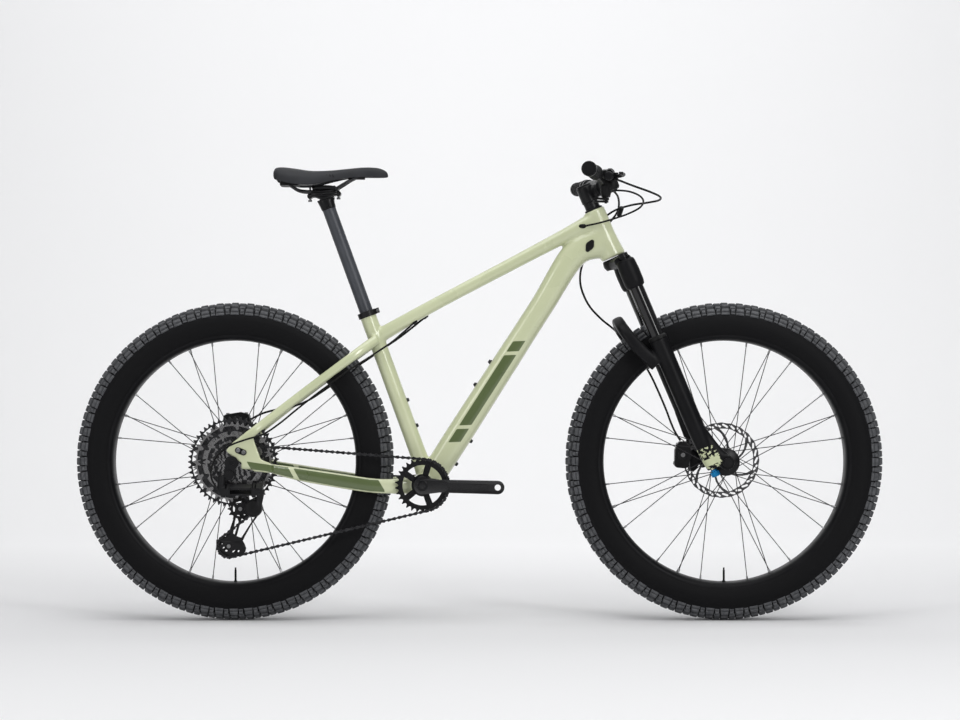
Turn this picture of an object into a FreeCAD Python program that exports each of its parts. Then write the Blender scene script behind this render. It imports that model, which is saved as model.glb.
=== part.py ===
import FreeCAD, Part
import math
import os

# A hardtail bicycle with very wide tyres, a suspension fork and a single chainring.
# Millimetres. +X is forward, +Y is left, +Z is up; the origin is on the ground midway between the axles.

vec = FreeCAD.Vector
forward = vec(1, 0, 0)
left = vec(0, 1, 0)
upward = vec(0, 0, 1)

# Layout in the side view
wheel_radius = 373.5
wheelbase = 1152.0
chainstay_length = 446.2
bracket_drop = 53.5
head_angle = 67.0
fork_offset = 51.0
axle_to_head_top = 665.0
seat_angle = 70.0
seat_axis_lead = 13.6

# Clearances and overruns
running_fit = 0.05
side_gap = 0.4
overrun = 5.0

# Head tube and headset
head_tube_length = 120.0
head_top_radius = 24.5
head_bottom_radius = 30.5
head_flare_length = 55.0
upper_bearing_radius = 21.0
lower_bearing_radius = 26.0
bearing_height = 8.0
head_bore_radius = 20.0
steerer_top_radius = 14.3
steerer_base_radius = 19.9
steerer_taper_top = 70.0

# Main tubes: wall, places where their axes meet the others, and half sizes
tube_wall = 2.2
top_tube_seat_height = 371.0
top_tube_head_drop = 22.0
top_tube_half_width = 22.0
top_tube_half_height = 19.0
top_tube_along_shares = (0.0, 0.25, 0.6, 0.86, 1.0)
top_tube_width_shares = (0.74, 0.82, 0.9, 1.0, 1.06)
top_tube_height_shares = (0.74, 0.78, 0.8, 0.9, 1.12)
down_tube_bracket_lead = 10.0
down_tube_angle = 57.3
down_tube_length = 640.0
down_tube_half_width = 29.0
down_tube_half_height = 31.0
down_tube_bend_reach = 82.0
down_tube_head_drop = 78.0
down_tube_along_shares = (0.03, 0.22, 0.5, 0.78)
down_tube_width_shares = (1.2, 1.0, 0.95, 0.93, 0.93, 0.9)
down_tube_height_shares = (0.97, 1.0, 0.95, 0.91, 1.02, 1.24)
tube_round_share = 0.86
seat_tube_length = 429.0
seat_tube_radius = 19.2
seat_tube_start = 12.0

# Bottom bracket
bracket_half_width = 60.0
bracket_radius = 24.0
bracket_bore_radius = 20.5
cup_radius = 22.0
cup_width = 10.0
spindle_radius = 12.0

# Stays and dropouts
hub_half_rear = 98.5
dropout_thickness = 8.0
chainstay_half_width = 9.5
chainstay_half_height = 18.0
chainstay_along_shares = (0.03, 0.17, 0.28, 0.44, 0.66, 0.82, 0.95)
chainstay_side_shares = (0.43, 0.58, 0.63, 0.665, 0.78, 0.93, 1.0)
chainstay_rise_shares = (-0.04, -0.06, -0.01, 0.19, 0.5, 0.785, 0.93)
chainstay_width_shares = (1.05, 0.9, 0.84, 0.84, 0.76, 0.68, 0.42)
chainstay_height_shares = (1.1, 0.97, 0.95, 0.95, 0.84, 0.56, 0.6)
seatstay_half_width = 8.0
seatstay_half_height = 10.8
seatstay_seat_height = 362.0
seatstay_along_shares = (0.0, 0.12, 0.25, 0.52, 0.77, 0.86, 1.0)
seatstay_side_shares = (0.2, 0.5, 0.61, 0.69, 0.89, 1.0, 1.0)
seatstay_bow_shares = (0.0, 0.16, 0.38, 0.66, 1.0, 0.8, 0.0)
seatstay_bow = 16.0
seatstay_width_shares = (1.4, 1.05, 0.95, 0.9, 0.8, 0.46, 0.44)
seatstay_height_shares = (1.15, 1.05, 1.0, 0.97, 0.95, 1.0, 1.0)
seatstay_end_rise = 31.0
seatstay_end_lead = 16.0
dropout_span = 60.0
dropout_boss_radius = 16.0
dropout_outline_shares = ((-0.36, 0.42), (-0.1, 0.74), (0.56, 0.97), (0.98, 0.1), (0.76, -0.42), (0.1, -0.25))
rear_axle_radius = 6.0
rear_axle_head_radius = 9.0
rear_axle_head = 5.0

# Derailleur hanger
hanger_thickness = 6.0
hanger_drop = 29.0
hanger_setback = 5.0
hanger_arm_radius = 11.0
hanger_bolt_radius = 5.0

# Bottle bosses and port covers
boss_radius = 4.6
boss_hole_radius = 2.5
boss_length = 4.4
boss_proud = 1.2
boss_spacing = 64.0
seat_boss_height = 171.5
down_boss_along = 290.0
under_boss_along = 108.0
port_cover_radius = 11.0
port_cover_depth = 3.0
port_cover_drop = 75.0
port_cover_setback = 43.0
cable_port_radius = 4.6
cable_port_length = 20.0
cable_port_drop = 27.0
cable_port_setback = 36.0
cable_port_proud = 2.8
cable_port_flare_share = 0.5

# Seat collar, post and saddle clamp
collar_height = 13.0
collar_wall = 4.6
collar_lip = 4.0
collar_ear = 11.0
collar_slot = 2.0
collar_bolt_radius = 2.6
post_radius = 15.8
post_wall = 2.3
post_exposed = 278.4
post_inserted = 124.0
head_setback = 3.6
post_head_radius = 17.5
post_head_height = 16.0
rail_radius = 3.5
rail_half_gap = 22.0
rail_height = 8.0
cradle_length = 70.0
cradle_width = 52.0
cradle_height = 13.0
cradle_cap_height = 7.0
clamp_bolt_radius = 3.0
clamp_bolt_spacing = 58.0
clamp_bolt_length = 34.0

# Saddle
saddle_length = 268.0
saddle_half_width = 71.0
saddle_height = 34.0
saddle_rail_rise = 31.0
saddle_setback = 118.0
saddle_round_share = 0.42
saddle_along_shares = (0.0, 0.05, 0.16, 0.34, 0.55, 0.78, 0.95, 1.0)
saddle_width_shares = (0.55, 0.82, 1.0, 0.82, 0.42, 0.28, 0.25, 0.16)
saddle_top_shares = (0.82, 0.98, 1.0, 0.74, 0.82, 0.98, 0.97, 0.66)
saddle_low_shares = (0.38, 0.0, -0.06, 0.02, 0.28, 0.5, 0.55, 0.5)
saddle_crown_shares = (0.3, 0.3, 0.26, 0.24, 0.3, 0.34, 0.34, 0.3)
shell_thickness = 4.0
shell_inset = 6.0
shell_gap = 1.0

# Fork upper
crown_race_gap = 0.4
crown_top = 126.0
crown_bottom = 148.0
crown_half_depth = 24.0
sleeve_end = 207.0
sleeve_radius = 22.0
leg_lead = 16.0
leg_side = 84.0
stanchion_radius = 17.0
stanchion_wall = 2.5
stanchion_end = 470.0
crown_socket_depth = 70.0

# Fork lowers
lowers_top = 338.0
leg_radius = 21.2
leg_bore_end = 596.0
leg_end = 668.0
leg_end_radius = 12.0
seal_radius = 22.6
seal_height = 9.0
foot_radius = 17.0
hub_half_front = 75.0
foot_depth = 40.0
arch_top = 250.0
arch_bottom = 280.0
arch_rear = -61.0
arch_front = -37.0
arch_half_width = 68.0
arch_leg_bottom = 392.0
arch_leg_thickness = 15.0
arch_leg_rear_reach = 34.0
front_axle_radius = 7.5
front_axle_head_radius = 11.0
front_axle_head = 5.0
front_axle_end = 12.0
caliper_tab_thickness = 9.0

# Knobs on the fork
knob_radius = 12.0
knob_height = 11.0
knob_stem_radius = 5.0
knob_stem_height = 6.0
rebound_radius = 10.0
rebound_height = 12.0
rebound_stem_radius = 4.0
rebound_stem = 5.0
knob_flutes = 10
knob_flute_radius = 2.0

# Stem, spacers, bar and grips
spacer_height = 20.0
spacer_radius = 17.5
stem_height = 40.0
stem_reach = 43.0
stem_wall = 5.0
top_cap_height = 4.0
stem_half_width = 17.0
stem_clamp_half_width = 26.0
stem_clamp_wall = 6.0
faceplate_gap = 2.0
stem_bolt_radius = 3.0
stem_bolt_inset = 5.5
pinch_lug_depth = 13.0
pinch_lug_height = 13.0
pinch_slot = 2.0
bar_clamp_radius = 15.9
bar_end_radius = 11.1
bar_half_width = 380.0
bar_wall = 2.0
bar_rise = 17.0
bar_sweep = 9.0
bar_upsweep = 0.3
bar_flat_half = 34.0
bar_bend_out = 112.0
bar_bend_back = 8.0
grip_length = 130.0
grip_radius = 16.0
grip_ring_radius = 17.0
grip_ring_width = 12.0
plug_radius = 13.0
plug_width = 3.0

# Brake levers
lever_clamp_side = 232.0
lever_clamp_width = 14.0
lever_clamp_wall = 4.0
cylinder_radius = 9.5
cylinder_length = 66.0
cylinder_lead = 31.0
cylinder_drop = 8.0
lever_pivot_lead = 44.0
lever_pivot_out = 8.0
lever_pivot_radius = 3.0
lever_ear_radius = 7.0
lever_ear_thickness = 4.0
lever_thickness = 9.0
lever_reach = 88.0
lever_tip_lead = 66.0
lever_blade_depth = 8.0
lever_bulge_share = 0.45

# Shifter
shifter_side = 204.0
shifter_width = 30.0
shifter_depth = 38.0
shifter_height = 34.0
shifter_drop = 20.0
shifter_lead = 18.0
paddle_thickness = 5.0
paddle_length = 36.0
paddle_width = 15.0
paddle_pivot_radius = 3.0
release_length = 30.0
release_width = 12.0

# Wheels
tyre_half_width = 47.0
tyre_wall = 3.2
tread_depth = 5.5
tread_row_degrees = ((-9.0, 9.0), (15.0, 31.0), (40.0, 62.0))
rim_radius = 302.0
rim_inner_radius = 284.0
rim_half_width = 40.0
rim_flange = 2.6
rim_bed_radius = 294.0
rim_shoulder_radius = 291.0
rim_nose_half_width = 23.0
valve_radius = 3.0
valve_length = 46.0
spoke_count = 32
spoke_radius = 1.0
spoke_cross = 3
nipple_radius = 2.2
nipple_length = 11.0
spoke_rim_offset = 9.0
spoke_bed_bite = 1.0
spoke_head_offset = 2.6

# Hubs
front_flange_radius = 29.0
front_flange_side = 34.0
front_flange_thickness = 4.0
front_shell_radius = 17.0
front_cap_radius = 13.0
rear_flange_radius = 33.0
rear_flange_left = 62.0
rear_flange_right = -43.0
rear_shell_radius = 21.0
rear_cap_radius = 14.0
flange_hole_inset = 4.0
freehub_end = -49.0

# Brakes
rotor_radius = 90.0
rotor_thickness = 1.8
rotor_inset = 15.0
rotor_band = 15.0
rotor_hub_radius = 24.0
rotor_arms = 6
rotor_arm_width = 7.0
rotor_lean_degrees = 34.0
rotor_slots = 36
rotor_slot_radius = 2.6
caliper_length = 62.0
caliper_depth = 36.0
caliper_half_width = 15.0
caliper_slot = 5.8
caliper_radius = 94.0
caliper_round = 7.0
pad_thickness = 1.6
pad_length = 26.0
pad_depth = 15.0
front_caliper_degrees = 172.0
rear_caliper_degrees = 92.0
caliper_tab_half_length = 20.0

# Chain and toothed wheels
chain_pitch = 12.7
ring_teeth = 30
cog_teeth = (10, 12, 14, 16, 18, 21, 24, 28, 33, 39, 45, 51)
chain_cog = 5
pulley_teeth = 13
cog_spacing = 3.55
first_cog_side = -92.5
cog_thickness = 1.6
ring_thickness = 1.9
pulley_thickness = 1.9
gullet_radius = 4.15
tooth_height = 2.2
tooth_tip_half_gap = 5.0
plate_half_height = 3.9
plate_inner_half_gap = 1.35
plate_thickness = 1.0
roller_radius = 3.7
chain_links = 116
freehub_radius = 17.0
lockring_radius = 16.0
lockring_width = 3.0
cog_core_radius = 22.0
cog_band = 7.0
cog_window_least_teeth = 21
cog_arms = 6
cog_arm_width = 7.0

# Cranks
crank_length = 175.0
crank_degrees = -1.3
crank_boss_radius = 20.0
crank_inner = 82.0
crank_outer = 103.0
crank_end_inner = 97.0
crank_end_outer = 110.0
crank_end_radius = 16.0
crank_mid_half_height = 15.5
crank_mid_half_depth = 7.5
crank_mid_share = 0.5
pedal_hole_radius = 7.14
crank_cap_radius = 15.0
crank_cap_proud = 2.0
ring_band = 7.5
ring_arms = 4
ring_arm_width = 11.0
ring_core_radius = 25.0

# Rear derailleur
link_slant = 56.0
link_length = 60.0
link_thickness = 5.0
link_width = 15.0
link_spacing = 17.0
link_pin_radius = 2.2
link_eye_radius = 5.0
link_ear_thickness = 3.0
knuckle_lead = -7.0
knuckle_drop = 55.5
knuckle_side = 124.0
cage_pivot_lead = 50.5
cage_pivot_drop = 106.0
barrel_radius = 16.0
barrel_inner = 85.0
barrel_outer = 110.0
cage_plate_gap = 4.4
cage_plate_thickness = 1.8
cage_plate_radius = 13.0
guide_setback = 32.5
guide_drop = 2.5
pulley_spacing = 91.0
cage_degrees_low = -20.0
cage_degrees_high = 20.0
cage_lean_degrees = 17.3
pulley_bolt_radius = 3.0
pulley_bore_share = 0.32
pulley_bore_gap = 0.35
cage_boss_depth = 16.0
cage_pin_radius = 6.0

# Cables
hose_radius = 2.5
cable_radius = 2.2
corner_share = 0.45


def unit(direction):
    return direction / direction.Length


def turned_by(direction, axis, degrees):
    return FreeCAD.Rotation(axis, degrees).multVec(direction)


rear_centre = vec(-wheelbase / 2, 0, wheel_radius)
front_centre = vec(wheelbase / 2, 0, wheel_radius)
bracket_reach = math.sqrt(chainstay_length ** 2 - bracket_drop ** 2)
bracket_centre = rear_centre + vec(bracket_reach, 0, -bracket_drop)
steer_down = vec(math.cos(math.radians(head_angle)), 0, -math.sin(math.radians(head_angle)))
steer_ahead = vec(math.sin(math.radians(head_angle)), 0, math.cos(math.radians(head_angle)))
head_top = front_centre - steer_ahead * fork_offset - steer_down * axle_to_head_top
seat_up = vec(-math.cos(math.radians(seat_angle)), 0, math.sin(math.radians(seat_angle)))
seat_ahead = vec(math.sin(math.radians(seat_angle)), 0, math.cos(math.radians(seat_angle)))
seat_foot = bracket_centre + forward * seat_axis_lead
dropout_side = hub_half_rear + side_gap + dropout_thickness / 2
chain_side = first_cog_side + chain_cog * cog_spacing


def steer(along, ahead=0, side=0):
    return head_top + steer_down * along + steer_ahead * ahead + left * side


def seat(height, ahead=0, side=0):
    return seat_foot + seat_up * height + seat_ahead * ahead + left * side


# Plain solids between two points

def rod(start, end, radius):
    return Part.makeCylinder(radius, (end - start).Length, start, end - start)


def taper(start, end, start_radius, end_radius):
    return Part.makeCone(start_radius, end_radius, (end - start).Length, start, end - start)


def ring(start, end, outer, inner):
    return rod(start, end, outer).cut(rod(start, end, inner))


def cross_rod(centre, low, high, radius):
    return rod(centre + left * low, centre + left * high, radius)


def slab(points, depth):
    return Part.Face(Part.makePolygon(points + points[:1])).extrude(depth)


def block(centre, along, across, rise, half_along, half_across, half_rise):
    corner = centre - along * half_along - across * half_across - rise * half_rise
    second = corner + along * half_along * 2
    third = second + across * half_across * 2
    fourth = corner + across * half_across * 2
    return slab([corner, second, third, fourth], rise * half_rise * 2)


def turned(profile, centre):
    points = [centre + vec(0, side, radius) for side, radius in profile]
    face = Part.Face(Part.makePolygon(points + points[:1]))
    return face.revolve(centre, left, 360)


def fused(shapes):
    return shapes[0].multiFuse(shapes[1:]).removeSplitter()


def mirrored(shape):
    return shape.mirror(vec(0, 0, 0), left)


def section(centre, across, rise, half_across, half_rise, round_share):
    bend = round_share * min(half_across, half_rise)
    straight_across = half_across - bend
    straight_rise = half_rise - bend
    middle = bend * math.sqrt(0.5)
    edges = []
    for turn in range(4):
        far, near = (across, rise) if turn % 2 == 0 else (rise, across * -1)
        far_half, near_half = (straight_across, straight_rise) if turn % 2 == 0 else (straight_rise, straight_across)
        sign = 1 if turn < 2 else -1
        corner = centre + (far * far_half + near * near_half) * sign
        first = corner + far * bend * sign
        last = corner + near * bend * sign
        before = first - near * near_half * 2 * sign
        edges.append(Part.LineSegment(before, first).toShape())
        edges.append(Part.Arc(first, corner + (far + near) * middle * sign, last).toShape())
    return Part.Wire(edges)


def loft(wires):
    return Part.makeLoft(wires, True)


def tube_along(stations, round_share, wall):
    wires = []
    for number, (point, half_across, half_rise) in enumerate(stations):
        before = stations[max(number - 1, 0)][0]
        after = stations[min(number + 1, len(stations) - 1)][0]
        along = unit(after - before)
        across = unit(left - along * left.dot(along))
        rise = unit(along.cross(across)) * -1
        wires.append(section(point, across, rise, half_across - wall, half_rise - wall, round_share))
    return loft(wires)


def hollow_tube(stations, wall):
    return tube_along(stations, tube_round_share, 0).cut(tube_along(stations, tube_round_share, wall))


# Cords: straight runs joined by the largest tangent arcs that the runs allow

def cord(name, points, radius):
    edges = []
    radii = []
    start = points[0]
    for before, corner, after in zip(points, points[1:], points[2:]):
        into = corner - before
        out = after - corner
        half_turn = into.getAngle(out) / 2
        trim = corner_share * min(into.Length, out.Length)
        bend = trim / math.tan(half_turn)
        first = corner - unit(into) * trim
        last = corner + unit(out) * trim
        inward = unit(unit(out) - unit(into))
        middle = corner + inward * (bend / math.cos(half_turn) - bend)
        edges.append(Part.LineSegment(start, first).toShape())
        edges.append(Part.Arc(first, middle, last).toShape())
        radii.append(bend)
        start = last
    edges.append(Part.LineSegment(start, points[-1]).toShape())
    path = Part.Wire(edges)
    rim = Part.Wire(Part.makeCircle(radius, points[0], points[1] - points[0]))
    solid = path.makePipeShell([rim], True)
    expected = math.pi * radius ** 2 * path.Length
    print(name, "length", round(path.Length, 1), "least radius", round(min(radii), 1),
          "volume share", round(solid.Volume / expected, 4))
    return solid


# Frame

def head_outer():
    flare_start = steer(head_tube_length - head_flare_length)
    upper = rod(steer(0), flare_start, head_top_radius)
    lower = taper(flare_start, steer(head_tube_length), head_top_radius, head_bottom_radius)
    return fused([upper, lower])


def head_tube():
    bore = rod(steer(-overrun), steer(head_tube_length + overrun), head_bore_radius)
    upper_seat = rod(steer(-overrun), steer(bearing_height), upper_bearing_radius)
    lower_seat = rod(steer(head_tube_length - bearing_height), steer(head_tube_length + overrun),
                     lower_bearing_radius)
    return head_outer().cut(bore).cut(upper_seat).cut(lower_seat)


def seat_tube_outer():
    return rod(seat(seat_tube_start), seat(seat_tube_length), seat_tube_radius)


def bracket_outer():
    return cross_rod(bracket_centre, -bracket_half_width, bracket_half_width, bracket_radius)


def seat_tube():
    body = fused([seat_tube_outer(), bracket_outer()])
    post_bore = rod(seat(seat_tube_start + bracket_radius * 2), seat(seat_tube_length + overrun),
                    post_radius + running_fit)
    bracket_bore = cross_rod(bracket_centre, -bracket_half_width - overrun, bracket_half_width + overrun,
                             bracket_bore_radius)
    return body.cut(post_bore).cut(bracket_bore)


def top_tube_stations():
    start = seat(top_tube_seat_height)
    end = steer(top_tube_head_drop)
    stations = []
    for along, wide, high in zip(top_tube_along_shares, top_tube_width_shares, top_tube_height_shares):
        stations.append((start + (end - start) * along, top_tube_half_width * wide, top_tube_half_height * high))
    return stations


def top_tube_outer():
    return tube_along(top_tube_stations(), tube_round_share, 0)


def top_tube():
    return hollow_tube(top_tube_stations(), tube_wall).cut(seat_tube_outer()).cut(head_outer())


def down_tube_stations():
    start = bracket_centre + forward * down_tube_bracket_lead
    along = vec(math.cos(math.radians(down_tube_angle)), 0, math.sin(math.radians(down_tube_angle)))
    points = [start + along * down_tube_length * share for share in down_tube_along_shares]
    end = steer(down_tube_head_drop)
    points.append(end - steer_ahead * down_tube_bend_reach)
    points.append(end)
    stations = []
    for point, wide, high in zip(points, down_tube_width_shares, down_tube_height_shares):
        stations.append((point, down_tube_half_width * wide, down_tube_half_height * high))
    return stations


def down_tube():
    body = hollow_tube(down_tube_stations(), tube_wall)
    return body.cut(head_outer()).cut(bracket_outer()).cut(seat_tube_outer()).cut(top_tube_outer())


def dropout_plate():
    side = -(hub_half_rear + side_gap)
    outline = []
    for ahead, rise in dropout_outline_shares:
        outline.append(rear_centre + vec(dropout_span * ahead, side, dropout_span * rise))
    plate = slab(outline, left * -dropout_thickness)
    boss = cross_rod(rear_centre, side - dropout_thickness, side, dropout_boss_radius)
    return fused([plate, boss])


def axle_hole():
    reach = hub_half_rear + dropout_thickness * 2 + hanger_thickness
    return cross_rod(rear_centre, -reach, reach, rear_axle_radius + running_fit)


def chainstay():
    stations = []
    shares = zip(chainstay_along_shares, chainstay_side_shares, chainstay_rise_shares, chainstay_width_shares,
                 chainstay_height_shares)
    for along, side, rise, wide, high in shares:
        point = bracket_centre + vec(-bracket_reach * along, -dropout_side * side, bracket_drop * rise)
        stations.append((point, chainstay_half_width * wide, chainstay_half_height * high))
    body = tube_along(stations, tube_round_share, 0)
    body = body.cut(bracket_outer()).cut(seat_tube_outer())
    return fused([body, dropout_plate()]).cut(axle_hole())


def seatstay(lower_parts):
    start = seat(seatstay_seat_height)
    end = rear_centre + vec(seatstay_end_lead, 0, seatstay_end_rise)
    along = end - start
    bow_way = unit(vec(along.z, 0, -along.x))
    stations = []
    shares = zip(seatstay_along_shares, seatstay_side_shares, seatstay_bow_shares, seatstay_width_shares,
                 seatstay_height_shares)
    for share, side, bow, wide, high in shares:
        point = start + along * share + bow_way * seatstay_bow * bow - left * dropout_side * side
        stations.append((point, seatstay_half_width * wide, seatstay_half_height * high))
    body = tube_along(stations, tube_round_share, 0)
    for part in lower_parts:
        body = body.cut(part)
    return body


def caliper_dropout_tab(upper_stay):
    centre = caliper_centre(rear_centre, rear_caliper_degrees, hub_half_rear + side_gap)
    foot = rear_centre + left * (hub_half_rear + side_gap)
    way = unit(centre - foot)
    along = unit(way.cross(left)) * caliper_tab_half_length
    tab = slab([foot + along, centre + along, centre - along, foot - along], left * dropout_thickness)
    return tab.cut(upper_stay).cut(axle_hole())


def derailleur_hanger():
    face = -(hub_half_rear + side_gap + dropout_thickness)
    bolt = rear_centre + vec(-hanger_setback, 0, -hanger_drop)
    boss = cross_rod(rear_centre, face - hanger_thickness, face, dropout_boss_radius)
    eye = cross_rod(bolt, face - hanger_thickness, face, hanger_arm_radius)
    across = unit((bolt - rear_centre).cross(left))
    arm = slab([rear_centre + across * hanger_arm_radius + left * face, bolt + across * hanger_arm_radius + left * face,
                bolt - across * hanger_arm_radius + left * face,
                rear_centre - across * hanger_arm_radius + left * face], left * -hanger_thickness)
    bolt_hole = cross_rod(bolt, face - hanger_thickness - overrun, face + overrun, hanger_bolt_radius)
    return fused([boss, eye, arm]).cut(bolt_hole).cut(axle_hole())


def boss_places():
    tilt = math.radians(down_tube_angle)
    along = vec(math.cos(tilt), 0, math.sin(tilt))
    above = vec(-math.sin(tilt), 0, math.cos(tilt))
    start = bracket_centre + forward * down_tube_bracket_lead
    return {
        "seat_tube": (seat(seat_boss_height, seat_tube_radius), seat_up, seat_ahead),
        "down_tube": (start + along * down_boss_along + above * down_tube_half_height, along, above),
        "under_tube": (start + along * under_boss_along - above * down_tube_half_height, along, above * -1),
    }


def boss_plugs():
    plugs = []
    for middle, along, outward in boss_places().values():
        for sign in (-1, 1):
            mouth = middle + along * boss_spacing / 2 * sign + outward * boss_proud
            plugs.append((mouth, outward))
    return plugs


def boss_cutters():
    return [rod(mouth, mouth - outward * boss_length, boss_radius) for mouth, outward in boss_plugs()]


def port_cover():
    centre = steer(port_cover_drop, -port_cover_setback)
    side = down_tube_half_width * down_tube_width_shares[-1]
    return cross_rod(centre, -side - boss_proud, -side + port_cover_depth, port_cover_radius)


def cable_port(sign):
    side = top_tube_half_width * top_tube_width_shares[-2] + cable_port_proud
    mouth = steer(cable_port_drop, -cable_port_setback, side * sign)
    way = unit(forward + left * cable_port_flare_share * sign)
    return rod(mouth - way * cable_port_length, mouth, cable_port_radius)


def frame_fittings():
    solids = []
    for mouth, outward in boss_plugs():
        plug = rod(mouth, mouth - outward * boss_length, boss_radius)
        solids.append(plug.cut(rod(mouth, mouth - outward * (boss_length - boss_proud), boss_hole_radius)))
    solids.append(port_cover())
    solids.append(cable_port(-1))
    solids.append(cable_port(1))
    return Part.makeCompound(solids)


def frame_bearings():
    upper = ring(steer(0), steer(bearing_height), upper_bearing_radius, steerer_top_radius + running_fit)
    lower = ring(steer(head_tube_length - bearing_height), steer(head_tube_length), lower_bearing_radius,
                 steerer_base_radius + running_fit)
    solids = [upper, lower]
    for sign in (-1, 1):
        face = bracket_half_width * sign
        flange = ring(bracket_centre + left * face, bracket_centre + left * (face + cup_width * sign), cup_radius,
                      spindle_radius + running_fit)
        sleeve = ring(bracket_centre + left * (face - cup_width * sign), bracket_centre + left * face,
                      bracket_bore_radius, spindle_radius + running_fit)
        solids.append(fused([flange, sleeve]))
    return Part.makeCompound(solids)


def rear_axle():
    right_end = -(hub_half_rear + side_gap + dropout_thickness + hanger_thickness)
    left_end = hub_half_rear + side_gap + dropout_thickness
    shaft = cross_rod(rear_centre, right_end, left_end, rear_axle_radius)
    head = cross_rod(rear_centre, left_end, left_end + rear_axle_head, rear_axle_head_radius)
    return fused([shaft, head])


def seat_collar():
    base = seat(seat_tube_length - collar_height + collar_lip)
    top = seat(seat_tube_length + collar_lip)
    outer = seat_tube_radius + collar_wall
    band = rod(base, top, outer)
    ear = block(seat(seat_tube_length - collar_height / 2 + collar_lip, outer), seat_ahead, left, seat_up,
                collar_ear / 2, collar_ear, collar_height / 2)
    slot = block(seat(seat_tube_length - collar_height / 2 + collar_lip, outer), seat_ahead, left, seat_up,
                 collar_ear * 2, collar_slot / 2, collar_height)
    body = fused([band, ear]).cut(slot)
    bore = rod(base, seat(seat_tube_length), seat_tube_radius)
    lip_bore = rod(seat(seat_tube_length), top, post_radius + running_fit)
    bolt_centre = seat(seat_tube_length - collar_height / 2 + collar_lip, outer + collar_bolt_radius)
    bolt = cross_rod(bolt_centre, -collar_ear - collar_bolt_radius, collar_ear + collar_bolt_radius,
                     collar_bolt_radius)
    body = body.cut(bore).cut(lip_bore).cut(bolt)
    return Part.makeCompound([body, bolt])


# Seat

def post_top():
    return seat(seat_tube_length + collar_lip + post_exposed)


def seatpost():
    bottom = seat(seat_tube_length - post_inserted)
    tube = rod(bottom, post_top(), post_radius)
    inside = rod(bottom - seat_up * overrun, post_top() - seat_up * post_head_height, post_radius - post_wall)
    head = rod(post_top() - seat_up * post_head_height, post_top(), post_head_radius)
    above = block(post_top() + upward * (cradle_length / 2 + rail_height), forward, left, upward, cradle_length,
                  cradle_length, cradle_length / 2 + rail_height)
    return fused([tube, head]).cut(inside).cut(above)


def cradle_centre():
    return post_top() - forward * head_setback + upward * (cradle_height / 2)


def rail_line():
    return cradle_centre().z + cradle_height / 2


def saddle_mount():
    centre = cradle_centre()
    cradle = block(centre, forward, left, upward, cradle_length / 2, cradle_width / 2, cradle_height / 2)
    cap_centre = centre + upward * (cradle_height / 2 + cradle_cap_height / 2)
    cap = block(cap_centre, forward, left, upward, cradle_length / 2, cradle_width / 2, cradle_cap_height / 2)
    rails = [saddle_rail(sign) for sign in (-1, 1)]
    bolts = []
    for sign in (-1, 1):
        bottom = centre + vec(clamp_bolt_spacing / 2 * sign, 0, cradle_height / 2 + cradle_cap_height
                              - clamp_bolt_length)
        bolts.append(rod(bottom, bottom + upward * clamp_bolt_length, clamp_bolt_radius))
    for part in rails + bolts:
        cradle = cradle.cut(part)
        cap = cap.cut(part)
    bolts = [bolt.cut(seatpost()) for bolt in bolts]
    return Part.makeCompound([cradle, cap] + rails + bolts)


def saddle_origin():
    return cradle_centre() + vec(-saddle_setback, 0, cradle_height / 2 + saddle_rail_rise)


def saddle_rail(sign):
    base = cradle_centre() + left * rail_half_gap * sign + upward * (cradle_height / 2)
    seat_drop = shell_thickness + side_gap * 2 + rail_radius
    tail_rise = saddle_height * saddle_low_shares[2] - seat_drop
    tail = saddle_origin() + vec(saddle_length * saddle_along_shares[2], rail_half_gap * sign, tail_rise)
    nose = saddle_origin() + vec(saddle_length * saddle_along_shares[5], rail_half_gap * sign / 2,
                                 saddle_height * saddle_low_shares[5] - seat_drop)
    points = [tail, base - forward * cradle_length * 0.62, base + forward * cradle_length * 0.62, nose]
    return cord("saddle_rail", points, rail_radius)


def saddle_section(number, lower, raise_share):
    along = saddle_length * saddle_along_shares[number]
    half = saddle_half_width * saddle_width_shares[number] - lower
    low = saddle_height * saddle_low_shares[number]
    top = saddle_height * saddle_top_shares[number]
    crown = (top - low) * saddle_crown_shares[number]
    draw = half * saddle_round_share * raise_share
    centre = saddle_origin() + forward * along
    low_left = centre + vec(0, half - draw, low)
    high_left = centre + vec(0, half - draw, top - crown)
    side_left = centre + vec(0, half, (low + top - crown) / 2)
    peak = centre + upward * top
    low_right = centre + vec(0, draw - half, low)
    high_right = centre + vec(0, draw - half, top - crown)
    side_right = centre + vec(0, -half, (low + top - crown) / 2)
    edges = [Part.LineSegment(low_right, low_left).toShape(), Part.Arc(low_left, side_left, high_left).toShape(),
             Part.Arc(high_left, peak, high_right).toShape(), Part.Arc(high_right, side_right, low_right).toShape()]
    return Part.Wire(edges)


def saddle_pad():
    return loft([saddle_section(number, 0, 0.35) for number in range(len(saddle_along_shares))])


def shell_section(number):
    along = saddle_length * saddle_along_shares[number]
    half = saddle_half_width * saddle_width_shares[number] - shell_inset
    low = saddle_height * saddle_low_shares[number]
    centre = saddle_origin() + vec(along, 0, low - shell_gap - shell_thickness / 2)
    return section(centre, left, upward, half, shell_thickness / 2, tube_round_share)


def saddle_shell():
    return loft([shell_section(number) for number in range(1, len(saddle_along_shares) - 1)])


# Fork, stem and bar

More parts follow.
